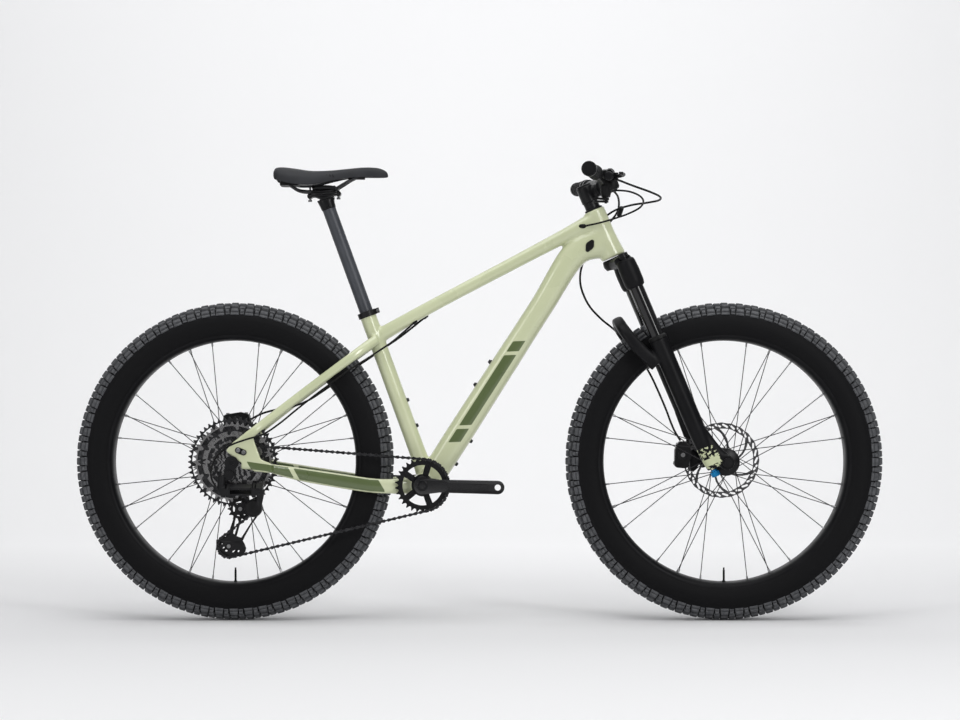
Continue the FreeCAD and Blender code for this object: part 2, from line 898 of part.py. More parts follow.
def fork_crown():
    race = rod(steer(head_tube_length + crown_race_gap), steer(crown_top), lower_bearing_radius)
    base = rod(steer(steerer_taper_top), steer(crown_top), steerer_base_radius)
    column_top = -(spacer_height + stem_height)
    column = rod(steer(column_top), steer(steerer_taper_top), steerer_top_radius)
    bridge = block(steer((crown_top + crown_bottom) / 2, leg_lead / 2), left, steer_ahead, steer_down,
                   leg_side, crown_half_depth, (crown_bottom - crown_top) / 2)
    sleeves = []
    sockets = []
    for sign in (-1, 1):
        sleeves.append(rod(steer(crown_top, leg_lead, leg_side * sign), steer(sleeve_end, leg_lead, leg_side * sign),
                           sleeve_radius))
        sockets.append(rod(steer(sleeve_end - crown_socket_depth, leg_lead, leg_side * sign),
                           steer(sleeve_end + overrun, leg_lead, leg_side * sign), stanchion_radius))
    body = fused([race, base, column, bridge] + sleeves)
    for socket in sockets:
        body = body.cut(socket)
    return body


def stanchions():
    solids = []
    for sign in (-1, 1):
        start = steer(sleeve_end - crown_socket_depth, leg_lead, leg_side * sign)
        end = steer(stanchion_end, leg_lead, leg_side * sign)
        solids.append(ring(start, end, stanchion_radius, stanchion_radius - stanchion_wall))
    return Part.makeCompound(solids)


def arch_leg(sign):
    half = arch_leg_thickness / 2
    low = section(steer(arch_leg_bottom, leg_lead - leg_radius / 2, leg_side * sign), left, steer_ahead,
                  half, leg_radius / 2, tube_round_share)
    middle = section(steer((arch_bottom + arch_leg_bottom) / 2, -arch_leg_rear_reach / 2, (leg_side - half / 2) * sign),
                     left, steer_ahead, half, leg_radius * 0.8, tube_round_share)
    high = section(steer(arch_bottom - overrun, (arch_rear + arch_front) / 2, arch_half_width * sign), left,
                   steer_ahead, half, (arch_front - arch_rear) / 2, tube_round_share)
    return loft([low, middle, high])


def fork_lowers():
    bodies = []
    bores = []
    for sign in (-1, 1):
        side = leg_side * sign
        bodies.append(rod(steer(lowers_top, leg_lead, side), steer(leg_bore_end, leg_lead, side), leg_radius))
        foot = front_centre + left * side
        knee = section(steer(leg_bore_end, leg_lead, side), left, steer_ahead, leg_radius * 0.98, leg_radius * 0.98,
                       tube_round_share)
        toe = section(foot - steer_down * foot_radius / 2, left, steer_ahead, foot_radius, foot_radius * 0.8,
                      tube_round_share)
        bodies.append(loft([knee, toe]))
        bodies.append(taper(steer(leg_bore_end, leg_lead, side), steer(leg_end, leg_lead, side), leg_radius,
                            leg_end_radius))
        bodies.append(cross_rod(front_centre, side - foot_radius, side + foot_radius, foot_radius))
        bodies.append(arch_leg(sign))
        bores.append(rod(steer(lowers_top - overrun, leg_lead, side), steer(leg_bore_end, leg_lead, side),
                         stanchion_radius + running_fit))
    bridge = block(steer((arch_top + arch_bottom) / 2, (arch_rear + arch_front) / 2), left, steer_ahead, steer_down,
                   arch_half_width, (arch_front - arch_rear) / 2, (arch_bottom - arch_top) / 2)
    body = fused(bodies + [bridge, caliper_tab()])
    for bore in bores:
        body = body.cut(bore)
    hub_space = cross_rod(front_centre, -hub_half_front - side_gap, hub_half_front + side_gap,
                          foot_radius + overrun)
    reach = leg_side + foot_radius + overrun
    body = body.cut(hub_space).cut(cross_rod(front_centre, -reach, reach, front_axle_radius + running_fit))
    body = body.cut(front_caliper_body())
    seals = []
    for sign in (-1, 1):
        start = steer(lowers_top - seal_height, leg_lead, leg_side * sign)
        end = steer(lowers_top, leg_lead, leg_side * sign)
        body = body.cut(rod(start, end, seal_radius))
        seals.append(ring(start, end, seal_radius, stanchion_radius + running_fit))
    return Part.makeCompound([body] + seals)


def caliper_centre(axle, degrees, side):
    way = turned_by(forward, left, -degrees)
    return axle + way * caliper_radius + left * side


def caliper_tab():
    side = hub_half_front - rotor_inset
    centre = caliper_centre(front_centre, front_caliper_degrees, side)
    inner = side + caliper_slot / 2 + overrun
    face = centre + left * (inner - side)
    leg_point = steer(leg_bore_end - foot_depth, leg_lead, inner)
    rise = steer_down * -1
    points = [face + rise * caliper_length / 2, face - rise * caliper_length / 2,
              leg_point - rise * caliper_length / 2, leg_point + rise * caliper_length / 2]
    return slab(points, left * caliper_tab_thickness)


def caliper_body(centre, way):
    along = unit(way.cross(left))
    body = block(centre, along, left, way, caliper_length / 2, caliper_half_width, caliper_depth / 2)
    edges = [edge for edge in body.Edges if abs(unit(edge.tangentAt(0)).dot(left)) > 0.9]
    body = body.makeFillet(caliper_round, edges)
    slot = block(centre - way * caliper_depth, along, left, way, caliper_length, caliper_slot / 2, caliper_depth * 1.3)
    return body.cut(slot)


def caliper_pads(centre, way):
    along = unit(way.cross(left))
    pads = []
    for sign in (-1, 1):
        offset = (caliper_slot / 2 - pad_thickness / 2) * sign
        pads.append(block(centre - way * pad_depth / 2 + left * offset, along, left, way, pad_length / 2,
                          pad_thickness / 2, pad_depth / 2))
    return pads


def front_caliper_body():
    centre = caliper_centre(front_centre, front_caliper_degrees, hub_half_front - rotor_inset)
    return caliper_body(centre, unit(vec(centre.x - front_centre.x, 0, centre.z - front_centre.z)))


def caliper(axle, degrees, side):
    centre = caliper_centre(axle, degrees, side)
    way = unit(vec(centre.x - axle.x, 0, centre.z - axle.z))
    return Part.makeCompound([caliper_body(centre, way)] + caliper_pads(centre, way))


def front_axle():
    right_face = -(leg_side + foot_radius)
    left_face = leg_side + foot_radius
    shaft = cross_rod(front_centre, right_face, left_face, front_axle_radius)
    head = cross_rod(front_centre, right_face - front_axle_head, right_face, front_axle_head_radius)
    return fused([shaft, head])


def fluted_knob(base, way, radius, height, stem_radius, stem):
    across = unit(way.cross(left)) if abs(way.dot(left)) < 1 else forward
    body = rod(base + way * stem, base + way * (stem + height), radius)
    for number in range(knob_flutes):
        out = turned_by(across, way, 360 * number / knob_flutes)
        flute = base + way * stem + out * radius
        body = body.cut(rod(flute - way * overrun, flute + way * (height + overrun), knob_flute_radius))
    return fused([body, rod(base, base + way * stem, stem_radius)])


def compression_knob():
    base = steer(crown_top - side_gap, leg_lead, -leg_side)
    return fluted_knob(base, steer_down * -1, knob_radius, knob_height, knob_stem_radius, knob_stem_height)


def rebound_knob():
    base = steer(leg_end + side_gap, leg_lead, -leg_side)
    return fluted_knob(base, steer_down, rebound_radius, rebound_height, rebound_stem_radius, rebound_stem)


def headset_spacers():
    cover = ring(steer(-spacer_height), steer(-side_gap), spacer_radius, steerer_top_radius)
    cap_top = spacer_height + stem_height + top_cap_height
    cap = rod(steer(-cap_top), steer(-spacer_height - stem_height), spacer_radius)
    return Part.makeCompound([cover, cap])


def bar_centre():
    return steer(-spacer_height - stem_height / 2, stem_reach)


def stem():
    outer = steerer_top_radius + stem_wall
    clamp_radius = bar_clamp_radius + stem_clamp_wall
    column = rod(steer(-spacer_height), steer(-spacer_height - stem_height), outer)
    centre = bar_centre()
    barrel = cross_rod(centre, -stem_clamp_half_width, stem_clamp_half_width, clamp_radius)
    rear = section(steer(-spacer_height - stem_height / 2), left, steer_down, stem_half_width, stem_height / 2.4,
                   tube_round_share)
    front = section(centre, left, steer_down, stem_clamp_half_width, clamp_radius, tube_round_share)
    arm = loft([rear, front])
    lug = block(steer(-spacer_height - stem_height / 2, -outer), steer_ahead, left, steer_down, pinch_lug_depth / 2,
                pinch_lug_depth / 2, stem_height / 2)
    waist = block(steer(-spacer_height - stem_height / 2, -outer - pinch_lug_depth / 2), steer_ahead, left, steer_down,
                  pinch_lug_depth / 2, pinch_lug_depth, stem_height / 2 - pinch_lug_height)
    split = block(steer(-spacer_height - stem_height / 2, -outer), steer_ahead, left, steer_down, pinch_lug_depth,
                  pinch_slot / 2, stem_height)
    body = fused([column, arm, barrel, lug]).cut(waist).cut(split)
    body = body.cut(rod(steer(overrun), steer(-spacer_height - stem_height - overrun), steerer_top_radius))
    body = body.cut(cross_rod(centre, -bar_half_width, bar_half_width, bar_clamp_radius))
    front_half = block(centre + steer_ahead * clamp_radius, steer_ahead, left, steer_down, clamp_radius,
                       stem_clamp_half_width + overrun, clamp_radius + overrun)
    faceplate = body.common(front_half.translated(steer_ahead * faceplate_gap / 2))
    body = body.cut(front_half.translated(steer_ahead * -faceplate_gap / 2))
    bolts = []
    for side in (-1, 1):
        for rise in (-1, 1):
            place = centre + left * (stem_clamp_half_width - stem_bolt_inset) * side
            place = place + steer_down * (bar_clamp_radius + stem_bolt_radius) * rise
            bolts.append(rod(place - steer_ahead * clamp_radius / 2, place + steer_ahead * clamp_radius,
                             stem_bolt_radius))
    for bolt in bolts:
        body = body.cut(bolt)
        faceplate = faceplate.cut(bolt)
    return Part.makeCompound([body, faceplate] + bolts)


def bar_point(side):
    reach = abs(side)
    centre = bar_centre()
    if reach <= bar_flat_half:
        return centre + left * side
    outward = reach - bar_bend_out
    bend = centre + vec(-bar_bend_back, side, bar_rise)
    return bend + vec(-outward * math.tan(math.radians(bar_sweep)), 0, outward * math.tan(math.radians(bar_upsweep)))


def bar_way(sign):
    return unit(bar_point(bar_half_width * sign) - bar_point(bar_bend_out * sign))


def bar_half(sign, wall):
    inner = bar_point(bar_flat_half * sign)
    bend = bar_point(bar_bend_out * sign)
    end = bar_point(bar_half_width * sign)
    first = rod(bar_point(0), inner, bar_clamp_radius - wall)
    second = taper(inner, bend, bar_clamp_radius - wall, bar_end_radius - wall)
    elbow = Part.makeSphere(bar_end_radius - wall, bend)
    knee = Part.makeSphere(bar_clamp_radius - wall, inner)
    third = rod(bend, end, bar_end_radius - wall)
    return fused([first, knee, second, elbow, third])


def handlebar():
    outer = fused([bar_half(-1, 0), bar_half(1, 0)])
    inner = fused([bar_half(-1, bar_wall), bar_half(1, bar_wall)])
    return outer.cut(inner)


def grips():
    solids = []
    for sign in (-1, 1):
        way = bar_way(sign)
        end = bar_point(bar_half_width * sign)
        start = end - way * grip_length
        solids.append(ring(start + way * grip_ring_width, end, grip_radius, bar_end_radius))
        solids.append(ring(start, start + way * grip_ring_width, grip_ring_radius, bar_end_radius))
        solids.append(rod(end, end + way * plug_width, plug_radius))
    return Part.makeCompound(solids)


def lever_frame(sign):
    clamp = bar_point(lever_clamp_side * sign)
    way = bar_way(sign)
    rise = unit(upward - way * upward.dot(way))
    ahead = unit(rise.cross(way)) * -sign
    return clamp, way, ahead, rise


def lever_pivot(sign):
    clamp, way, ahead, rise = lever_frame(sign)
    return clamp + way * lever_pivot_out + ahead * lever_pivot_lead - rise * cylinder_drop


def brake_lever_bodies():
    solids = []
    for sign in (-1, 1):
        clamp, way, ahead, rise = lever_frame(sign)
        half = lever_clamp_width / 2
        band_radius = bar_end_radius + lever_clamp_wall
        band = rod(clamp - way * half, clamp + way * half, band_radius)
        barrel_start = clamp + ahead * cylinder_lead - rise * cylinder_drop + way * half
        barrel = rod(barrel_start, barrel_start - way * cylinder_length, cylinder_radius)
        neck = block(clamp + ahead * cylinder_lead / 2 - rise * cylinder_drop / 2, ahead, way, rise,
                     cylinder_lead / 2, half, cylinder_radius * 0.7)
        pivot = lever_pivot(sign)
        ears = []
        for level in (-1, 1):
            offset = lever_thickness / 2 + side_gap
            near = pivot + rise * offset * level
            far = pivot + rise * (offset + lever_ear_thickness) * level
            ears.append(rod(near, far, lever_ear_radius))
            ears.append(block(pivot - ahead * (lever_pivot_lead - cylinder_lead) / 2
                              + rise * (offset + lever_ear_thickness / 2) * level, ahead, way, rise,
                              (lever_pivot_lead - cylinder_lead) / 2, lever_ear_radius, lever_ear_thickness / 2))
        pin = rod(pivot - rise * (lever_thickness / 2 + lever_ear_thickness),
                  pivot + rise * (lever_thickness / 2 + lever_ear_thickness), lever_pivot_radius)
        body = fused([band, barrel, neck, pin] + ears)
        body = body.cut(rod(clamp - way * lever_clamp_side, clamp + way * lever_clamp_side, bar_end_radius))
        space = rod(pivot - rise * (lever_thickness / 2 + side_gap), pivot + rise * (lever_thickness / 2 + side_gap),
                    lever_ear_radius + overrun).cut(rod(pivot - rise * lever_thickness, pivot + rise * lever_thickness,
                                                        lever_pivot_radius))
        solids.append(body.cut(space))
    return Part.makeCompound(solids)


def brake_lever(sign):
    clamp, way, ahead, rise = lever_frame(sign)
    pivot = lever_pivot(sign)
    half = lever_thickness / 2
    eye = rod(pivot - rise * half, pivot + rise * half, lever_ear_radius - side_gap)
    tip = pivot + way * lever_reach + ahead * (lever_tip_lead - lever_pivot_lead)
    middle = pivot + way * lever_reach * lever_bulge_share + ahead * (lever_tip_lead - lever_pivot_lead)
    root_wire = section(pivot, ahead, rise, lever_ear_radius * 0.8, half * 0.96, tube_round_share)
    middle_wire = section(middle, ahead, rise, lever_blade_depth / 2, half * 0.9, tube_round_share)
    tip_wire = section(tip, ahead, rise, lever_blade_depth / 2, half * 0.8, tube_round_share)
    blade = loft([root_wire, middle_wire, tip_wire])
    knob = rod(tip - rise * half * 0.8, tip + rise * half * 0.8, lever_blade_depth * 0.6)
    hole = rod(pivot - rise * lever_thickness, pivot + rise * lever_thickness, lever_pivot_radius + running_fit)
    return fused([eye, blade, knob]).cut(hole)


def shifter_frame():
    way = bar_way(-1)
    rise = unit(upward - way * upward.dot(way))
    ahead = unit(rise.cross(way))
    return bar_point(-shifter_side), way, ahead, rise


def shifter_body():
    clamp, way, ahead, rise = shifter_frame()
    half = lever_clamp_width / 2
    band = rod(clamp - way * half, clamp + way * half, bar_end_radius + lever_clamp_wall)
    centre = clamp - rise * (shifter_drop + shifter_height / 2) + ahead * shifter_lead
    case = block(centre, ahead, way, rise, shifter_depth / 2, shifter_width / 2, shifter_height / 2)
    edges = [edge for edge in case.Edges if abs(unit(edge.tangentAt(0)).dot(way)) > 0.9]
    case = case.makeFillet(caliper_round, edges)
    neck = block(clamp - rise * shifter_drop + ahead * shifter_lead / 2, ahead, way, rise, half, half, shifter_drop / 2)
    pins = []
    for place in (main_pivot(), release_pivot()):
        pins.append(rod(place, place - rise * (paddle_thickness + side_gap * 2), paddle_pivot_radius))
    body = fused([band, case, neck] + pins)
    return body.cut(rod(clamp - way * shifter_side, clamp + way * lever_clamp_side, bar_end_radius))


def main_pivot():
    clamp, way, ahead, rise = shifter_frame()
    return clamp - rise * (shifter_drop + shifter_height) + ahead * shifter_lead


def release_pivot():
    clamp, way, ahead, rise = shifter_frame()
    return main_pivot() - rise * (paddle_thickness + side_gap * 2)


def paddle(pivot, way, across, rise, length, width):
    top = pivot - rise * side_gap
    eye_radius = width / 2
    eye = rod(top, top - rise * paddle_thickness, eye_radius)
    root = section(top - rise * paddle_thickness / 2, across, rise, eye_radius * 0.9, paddle_thickness / 2 * 0.98,
                   tube_round_share)
    tip = section(top - rise * paddle_thickness / 2 + way * length, across, rise, width / 2, paddle_thickness / 2 * 0.98,
                  tube_round_share)
    hole = rod(pivot + rise * overrun, pivot - rise * (paddle_thickness + overrun), paddle_pivot_radius + running_fit)
    return fused([eye, loft([root, tip])]).cut(hole)


def shift_paddle_main():
    clamp, way, ahead, rise = shifter_frame()
    return paddle(main_pivot(), unit(way - ahead * 0.7), unit(ahead + way * 0.7), rise, paddle_length, paddle_width)


def shift_paddle_release():
    clamp, way, ahead, rise = shifter_frame()
    return paddle(release_pivot(), unit(way * 0.5 - ahead), unit(ahead * 0.5 + way), rise, release_length, release_width)


# Wheels

def tyre(centre):
    middle = wheel_radius - tread_depth - tyre_half_width
    outer = tyre_half_width
    inner = outer - tyre_wall
    bead = rim_radius
    bead_side = rim_half_width

    def around(radius, degrees):
        return vec(0, radius * math.sin(math.radians(degrees)), middle + radius * math.cos(math.radians(degrees)))

    low = 180 - math.degrees(math.asin(bead_side / outer))
    inside_low = 180 - math.degrees(math.asin((bead_side - tyre_wall) / inner))
    edges = [
        Part.Arc(centre + around(outer, -low), centre + around(outer, 0), centre + around(outer, low)).toShape(),
        Part.LineSegment(centre + around(outer, low), centre + vec(0, bead_side, bead)).toShape(),
        Part.LineSegment(centre + vec(0, bead_side, bead), centre + vec(0, bead_side - tyre_wall, bead)).toShape(),
        Part.LineSegment(centre + vec(0, bead_side - tyre_wall, bead), centre + around(inner, inside_low)).toShape(),
        Part.Arc(centre + around(inner, inside_low), centre + around(inner, 0),
                 centre + around(inner, -inside_low)).toShape(),
        Part.LineSegment(centre + around(inner, -inside_low), centre + vec(0, tyre_wall - bead_side, bead)).toShape(),
        Part.LineSegment(centre + vec(0, tyre_wall - bead_side, bead), centre + vec(0, -bead_side, bead)).toShape(),
        Part.LineSegment(centre + vec(0, -bead_side, bead), centre + around(outer, -low)).toShape(),
    ]
    carcass = Part.Face(Part.Wire(edges)).revolve(centre, left, 360)
    bands = []
    rows = list(tread_row_degrees) + [(-high, -low_row) for low_row, high in tread_row_degrees[1:]]
    for start, end in rows:
        half = (start + end) / 2
        base = outer - tyre_wall / 2
        top = outer + tread_depth
        wire = Part.Wire([
            Part.Arc(centre + around(top, start), centre + around(top, half), centre + around(top, end)).toShape(),
            Part.LineSegment(centre + around(top, end), centre + around(base, end)).toShape(),
            Part.Arc(centre + around(base, end), centre + around(base, half), centre + around(base, start)).toShape(),
            Part.LineSegment(centre + around(base, start), centre + around(top, start)).toShape(),
        ])
        bands.append(Part.Face(wire).revolve(centre, left, 360))
    return fused([carcass] + bands)


def rim(centre):
    profile = [(-rim_half_width, rim_radius), (-rim_half_width + rim_flange, rim_radius),
               (-rim_half_width + rim_flange * 2, rim_bed_radius), (rim_half_width - rim_flange * 2, rim_bed_radius),
               (rim_half_width - rim_flange, rim_radius), (rim_half_width, rim_radius),
               (rim_half_width - rim_flange / 2, rim_shoulder_radius), (rim_nose_half_width, rim_inner_radius),
               (-rim_nose_half_width, rim_inner_radius), (-rim_half_width + rim_flange / 2, rim_shoulder_radius)]
    hoop = turned(profile, centre)
    foot = centre - upward * (rim_inner_radius - side_gap)
    valve = rod(foot, foot + upward * valve_length, valve_radius)
    return Part.makeCompound([hoop, valve])


def spokes(centre, right_side, left_side, flange_radius):
    solids = []
    pairs = spoke_count // 2
    for number in range(spoke_count):
        near = number % 2 == 0
        side = right_side if near else left_side
        sign = -1 if near else 1
        index = number // 2
        lead = 1 if index % 2 == 0 else -1
        hub_degrees = 360 * index / pairs + (0 if near else 180 / pairs)
        rim_degrees = 360 * (number + 0.5) / spoke_count + lead * 360 / pairs * spoke_cross * 0.92
        hub_way = turned_by(upward, left, hub_degrees)
        rim_way = turned_by(upward, left, rim_degrees)
        start = centre + hub_way * (flange_radius - flange_hole_inset) + left * (side + spoke_head_offset * lead)
        end = centre + rim_way * (rim_inner_radius + spoke_bed_bite) + left * spoke_rim_offset * sign
        back = unit(start - end)
        shaft = rod(start, end, spoke_radius)
        nipple = rod(end, end + back * nipple_length, nipple_radius)
        solids.append(fused([shaft, nipple]))
    return Part.makeCompound(solids)


def front_hub():
    cap_end = hub_half_front
    side = front_flange_side
    thick = front_flange_thickness
    rotor_seat = hub_half_front - rotor_inset - rotor_thickness / 2
    bore = front_axle_radius + running_fit
    profile = [(-cap_end, bore), (-cap_end, front_cap_radius), (-side - thick * 3, front_cap_radius),
               (-side - thick, front_shell_radius), (-side - thick / 2, front_flange_radius),
               (-side + thick / 2, front_flange_radius), (-side + thick, front_shell_radius),
               (side - thick, front_shell_radius), (side - thick / 2, front_flange_radius),
               (side + thick / 2, front_flange_radius), (side + thick, front_shell_radius),
               (rotor_seat, front_shell_radius), (rotor_seat, front_cap_radius), (cap_end, front_cap_radius),
               (cap_end, bore)]
    return turned(profile, front_centre)


def rear_hub():
    thick = front_flange_thickness
    rotor_seat = hub_half_rear - rotor_inset - rotor_thickness / 2
    bore = rear_axle_radius + running_fit
    low = rear_flange_right
    high = rear_flange_left
    profile = [(freehub_end, bore), (freehub_end, rear_shell_radius), (low - thick, rear_shell_radius),
               (low - thick / 2, rear_flange_radius), (low + thick / 2, rear_flange_radius),
               (low + thick, rear_shell_radius), (high - thick, rear_shell_radius),
               (high - thick / 2, rear_flange_radius), (high + thick / 2, rear_flange_radius),
               (high + thick, rear_shell_radius), (rotor_seat, rear_shell_radius), (rotor_seat, rear_cap_radius),
               (hub_half_rear, rear_cap_radius), (hub_half_rear, bore)]
    return turned(profile, rear_centre)


def rotor(axle, side, bore):
    centre = axle + left * side
    half = rotor_thickness / 2
    band = ring(centre - left * half, centre + left * half, rotor_radius, rotor_radius - rotor_band)
    for number in range(rotor_slots):
        row = rotor_band * (0.3 if number % 2 else 0.66)
        place = centre + turned_by(upward, left, 360 * number / rotor_slots) * (rotor_radius - row)
        band = band.cut(cross_rod(place, -rotor_thickness, rotor_thickness, rotor_slot_radius))
    core = ring(centre - left * half, centre + left * half, rotor_hub_radius, bore)
    arms = []
    for number in range(rotor_arms):
        start = turned_by(upward, left, 360 * number / rotor_arms)
        end = turned_by(upward, left, 360 * number / rotor_arms + rotor_lean_degrees)
        inner = centre + start * (rotor_hub_radius - rotor_arm_width / 2)
        outer = centre + end * (rotor_radius - rotor_band / 2)
        way = outer - inner
        arms.append(block(inner + way / 2, unit(way), unit(way.cross(left)), left, way.Length / 2,
                          rotor_arm_width / 2, half))
    arms = [arm.cut(cross_rod(centre, -rotor_thickness, rotor_thickness, bore)) for arm in arms]
    return fused([band, core] + arms)


# Drive: the chain's path runs round directed circles, -1 for clockwise seen from the drive side

def pitch_radius(teeth):
    return chain_pitch * teeth / (2 * math.pi)


def cage_place(degrees):
    pivot = rear_centre + vec(cage_pivot_lead, chain_side, -cage_pivot_drop)
    guide = vec(-guide_setback, 0, -guide_drop)
    lean = math.radians(cage_lean_degrees)
    tension = guide + vec(-math.sin(lean), 0, -math.cos(lean)) * pulley_spacing
    return pivot, pivot + turned_by(guide, left, degrees), pivot + turned_by(tension, left, degrees)


def chain_circles(degrees):
    pivot, guide, tension = cage_place(degrees)
    ring_centre = bracket_centre + left * chain_side
    cog_centre = rear_centre + left * chain_side
    return [(ring_centre, pitch_radius(ring_teeth), -1), (tension, pitch_radius(pulley_teeth), -1),
            (guide, pitch_radius(pulley_teeth), 1), (cog_centre, pitch_radius(cog_teeth[chain_cog]), -1)]


def heading(first, second):
    span = second[0] - first[0]
    offset = second[2] * second[1] - first[2] * first[1]
    return math.atan2(span.z, span.x) - math.asin(offset / span.Length)


def on_circle(circle, way):
    centre, radius, turn = circle
    return centre + vec(math.sin(way), 0, -math.cos(way)) * radius * turn


def chain_path(degrees):
    circles = chain_circles(degrees)
    count = len(circles)
    ways = [heading(circles[number], circles[(number + 1) % count]) for number in range(count)]
    pieces = []
    for number, circle in enumerate(circles):
        way_in = ways[number - 1]
        way_out = ways[number]
        swing = ((way_out - way_in) * circle[2]) % (2 * math.pi)
        pieces.append(("arc", circle, way_in, swing))
        pieces.append(("line", on_circle(circle, way_out), on_circle(circles[(number + 1) % count], way_out)))
    return pieces


def piece_length(piece):
    if piece[0] == "arc":
        return piece[1][1] * piece[3]
    return (piece[2] - piece[1]).Length


def chain_cage_degrees():
    low, high = cage_degrees_low, cage_degrees_high
    for step in range(60):
        middle = (low + high) / 2
        spare = chain_links * chain_pitch - sum(piece_length(piece) for piece in chain_path(middle))
        low_spare = chain_links * chain_pitch - sum(piece_length(piece) for piece in chain_path(low))
        if spare * low_spare > 0:
            low = middle
        else:
            high = middle
    return (low + high) / 2


cage_degrees = chain_cage_degrees()
chain_pieces = chain_path(cage_degrees)


def roller_places():
    places = []
    travelled = 0
    for number, piece in enumerate(chain_pieces):
        length = piece_length(piece)
        while len(places) * chain_pitch < travelled + length and len(places) < chain_links:
            beyond = len(places) * chain_pitch - travelled
            if piece[0] == "arc":
                way = piece[2] + piece[1][2] * beyond / piece[1][1]
                places.append((number, on_circle(piece[1], way), way))
            else:
                places.append((number, piece[1] + unit(piece[2] - piece[1]) * beyond, 0))
        travelled += length
    return places


rollers = roller_places()


def tooth_phase(circle_number):
    centre = chain_pieces[circle_number * 2][1][0]
    place = next(point for number, point, way in rollers if number == circle_number * 2)
    return math.atan2(place.z - centre.z, place.x - centre.x)


def toothed_disc(centre, teeth, phase, thickness):
    radius = pitch_radius(teeth)
    tip = radius + tooth_height
    step = 2 * math.pi / teeth
    side = vec(0, -thickness / 2, 0)
    edges = []

    def place(out, along, angle):
        way = vec(math.cos(angle), 0, math.sin(angle))
        across = vec(-math.sin(angle), 0, math.cos(angle))
        return centre + way * out + across * along + side

    lean = min(tooth_tip_half_gap, gullet_radius * 1.2)
    for number in range(teeth):
        angle = phase + step * number
        start = place(radius, -gullet_radius, angle)
        bottom = place(radius - gullet_radius, 0, angle)
        end = place(radius, gullet_radius, angle)
        high = place(tip, lean, angle)
        following = place(tip, -lean, angle + step)
        edges.append(Part.Arc(start, bottom, end).toShape())
        edges.append(Part.LineSegment(end, high).toShape())
        edges.append(Part.LineSegment(high, following).toShape())
        edges.append(Part.LineSegment(following, place(radius, -gullet_radius, angle + step)).toShape())
    return Part.Face(Part.Wire(edges)).extrude(left * thickness)


def windows(centre, outer, inner, arms, arm_width, thickness):
    gap = ring(centre - left * thickness, centre + left * thickness, outer, inner)
    for number in range(arms):
        way = turned_by(forward, left, 360 * number / arms)
        gap = gap.cut(block(centre + way * outer / 2, way, unit(way.cross(left)), left, outer / 2 + overrun,
                            arm_width / 2, thickness * 2))
    return gap


def cassette():
    solids = []
    bore = rear_axle_radius + running_fit
    for number, teeth in enumerate(cog_teeth):
        centre = rear_centre + left * (first_cog_side + cog_spacing * number)
        phase = tooth_phase(3) if number == chain_cog else 0
        cog = toothed_disc(centre, teeth, phase, cog_thickness)
        root = pitch_radius(teeth) - gullet_radius
        if teeth >= cog_window_least_teeth:
            cog = cog.cut(windows(centre, root - cog_band, cog_core_radius, cog_arms, cog_arm_width, cog_thickness))
        solids.append(cog)
    small = rear_centre + left * (first_cog_side - cog_spacing)
    body_start = first_cog_side + cog_spacing * 2
    body = cross_rod(rear_centre, body_start, freehub_end - side_gap, freehub_radius)
    nose = cross_rod(rear_centre, -hub_half_rear, body_start, lockring_radius - lockring_width)
    whole = fused(solids + [body, nose])
    return whole.cut(cross_rod(rear_centre, -hub_half_rear - overrun, 0, bore))


def crank_way(sign):
    return turned_by(forward, left, -crank_degrees) * -sign


def crank_arm(sign):
    way = crank_way(sign)
    across = unit(way.cross(left))
    inner = crank_inner * sign
    outer = crank_outer * sign
    boss = cross_rod(bracket_centre, min(inner, outer), max(inner, outer), crank_boss_radius)
    end = bracket_centre + way * crank_length
    end_low = crank_end_inner * sign
    end_high = crank_end_outer * sign
    eye = cross_rod(end, min(end_low, end_high), max(end_low, end_high), crank_end_radius)
    root_wire = section(bracket_centre + left * (inner + outer) / 2, left, across, (crank_outer - crank_inner) / 2 * 0.96,
                        crank_boss_radius * 0.9, tube_round_share)
    mid_side = (inner + outer) / 2 * (1 - crank_mid_share) + (end_low + end_high) / 2 * crank_mid_share
    middle_wire = section(bracket_centre + way * crank_length * crank_mid_share + left * mid_side, left, across,
                          crank_mid_half_depth, crank_mid_half_height, tube_round_share)
    end_wire = section(end + left * (end_low + end_high) / 2, left, across,
                       (crank_end_outer - crank_end_inner) / 2 * 0.96, crank_end_radius * 0.92, tube_round_share)
    arm = loft([root_wire, middle_wire, end_wire])
    hole = cross_rod(end, min(end_low, end_high) - overrun, max(end_low, end_high) + overrun, pedal_hole_radius)
    return fused([boss, arm, eye]).cut(hole)


def crank_right():
    spindle = cross_rod(bracket_centre, -crank_outer, crank_outer, spindle_radius)
    cap = cross_rod(bracket_centre, -crank_outer - crank_cap_proud, -crank_outer, crank_cap_radius)
    return Part.makeCompound([fused([crank_arm(-1).cut(spindle), cap]), spindle])


def crank_left():
    return crank_arm(1).cut(cross_rod(bracket_centre, 0, crank_outer + overrun, spindle_radius))


def chainring():
    centre = bracket_centre + left * chain_side
    disc = toothed_disc(centre, ring_teeth, tooth_phase(0), ring_thickness)
    root = pitch_radius(ring_teeth) - gullet_radius
    disc = disc.cut(windows(centre, root - ring_band, ring_core_radius, ring_arms, ring_arm_width, ring_thickness))
    core = ring(bracket_centre - left * crank_inner, centre, ring_core_radius, spindle_radius)
    whole = fused([disc, core])
    return whole.cut(cross_rod(bracket_centre, -crank_inner - overrun, 0, spindle_radius))


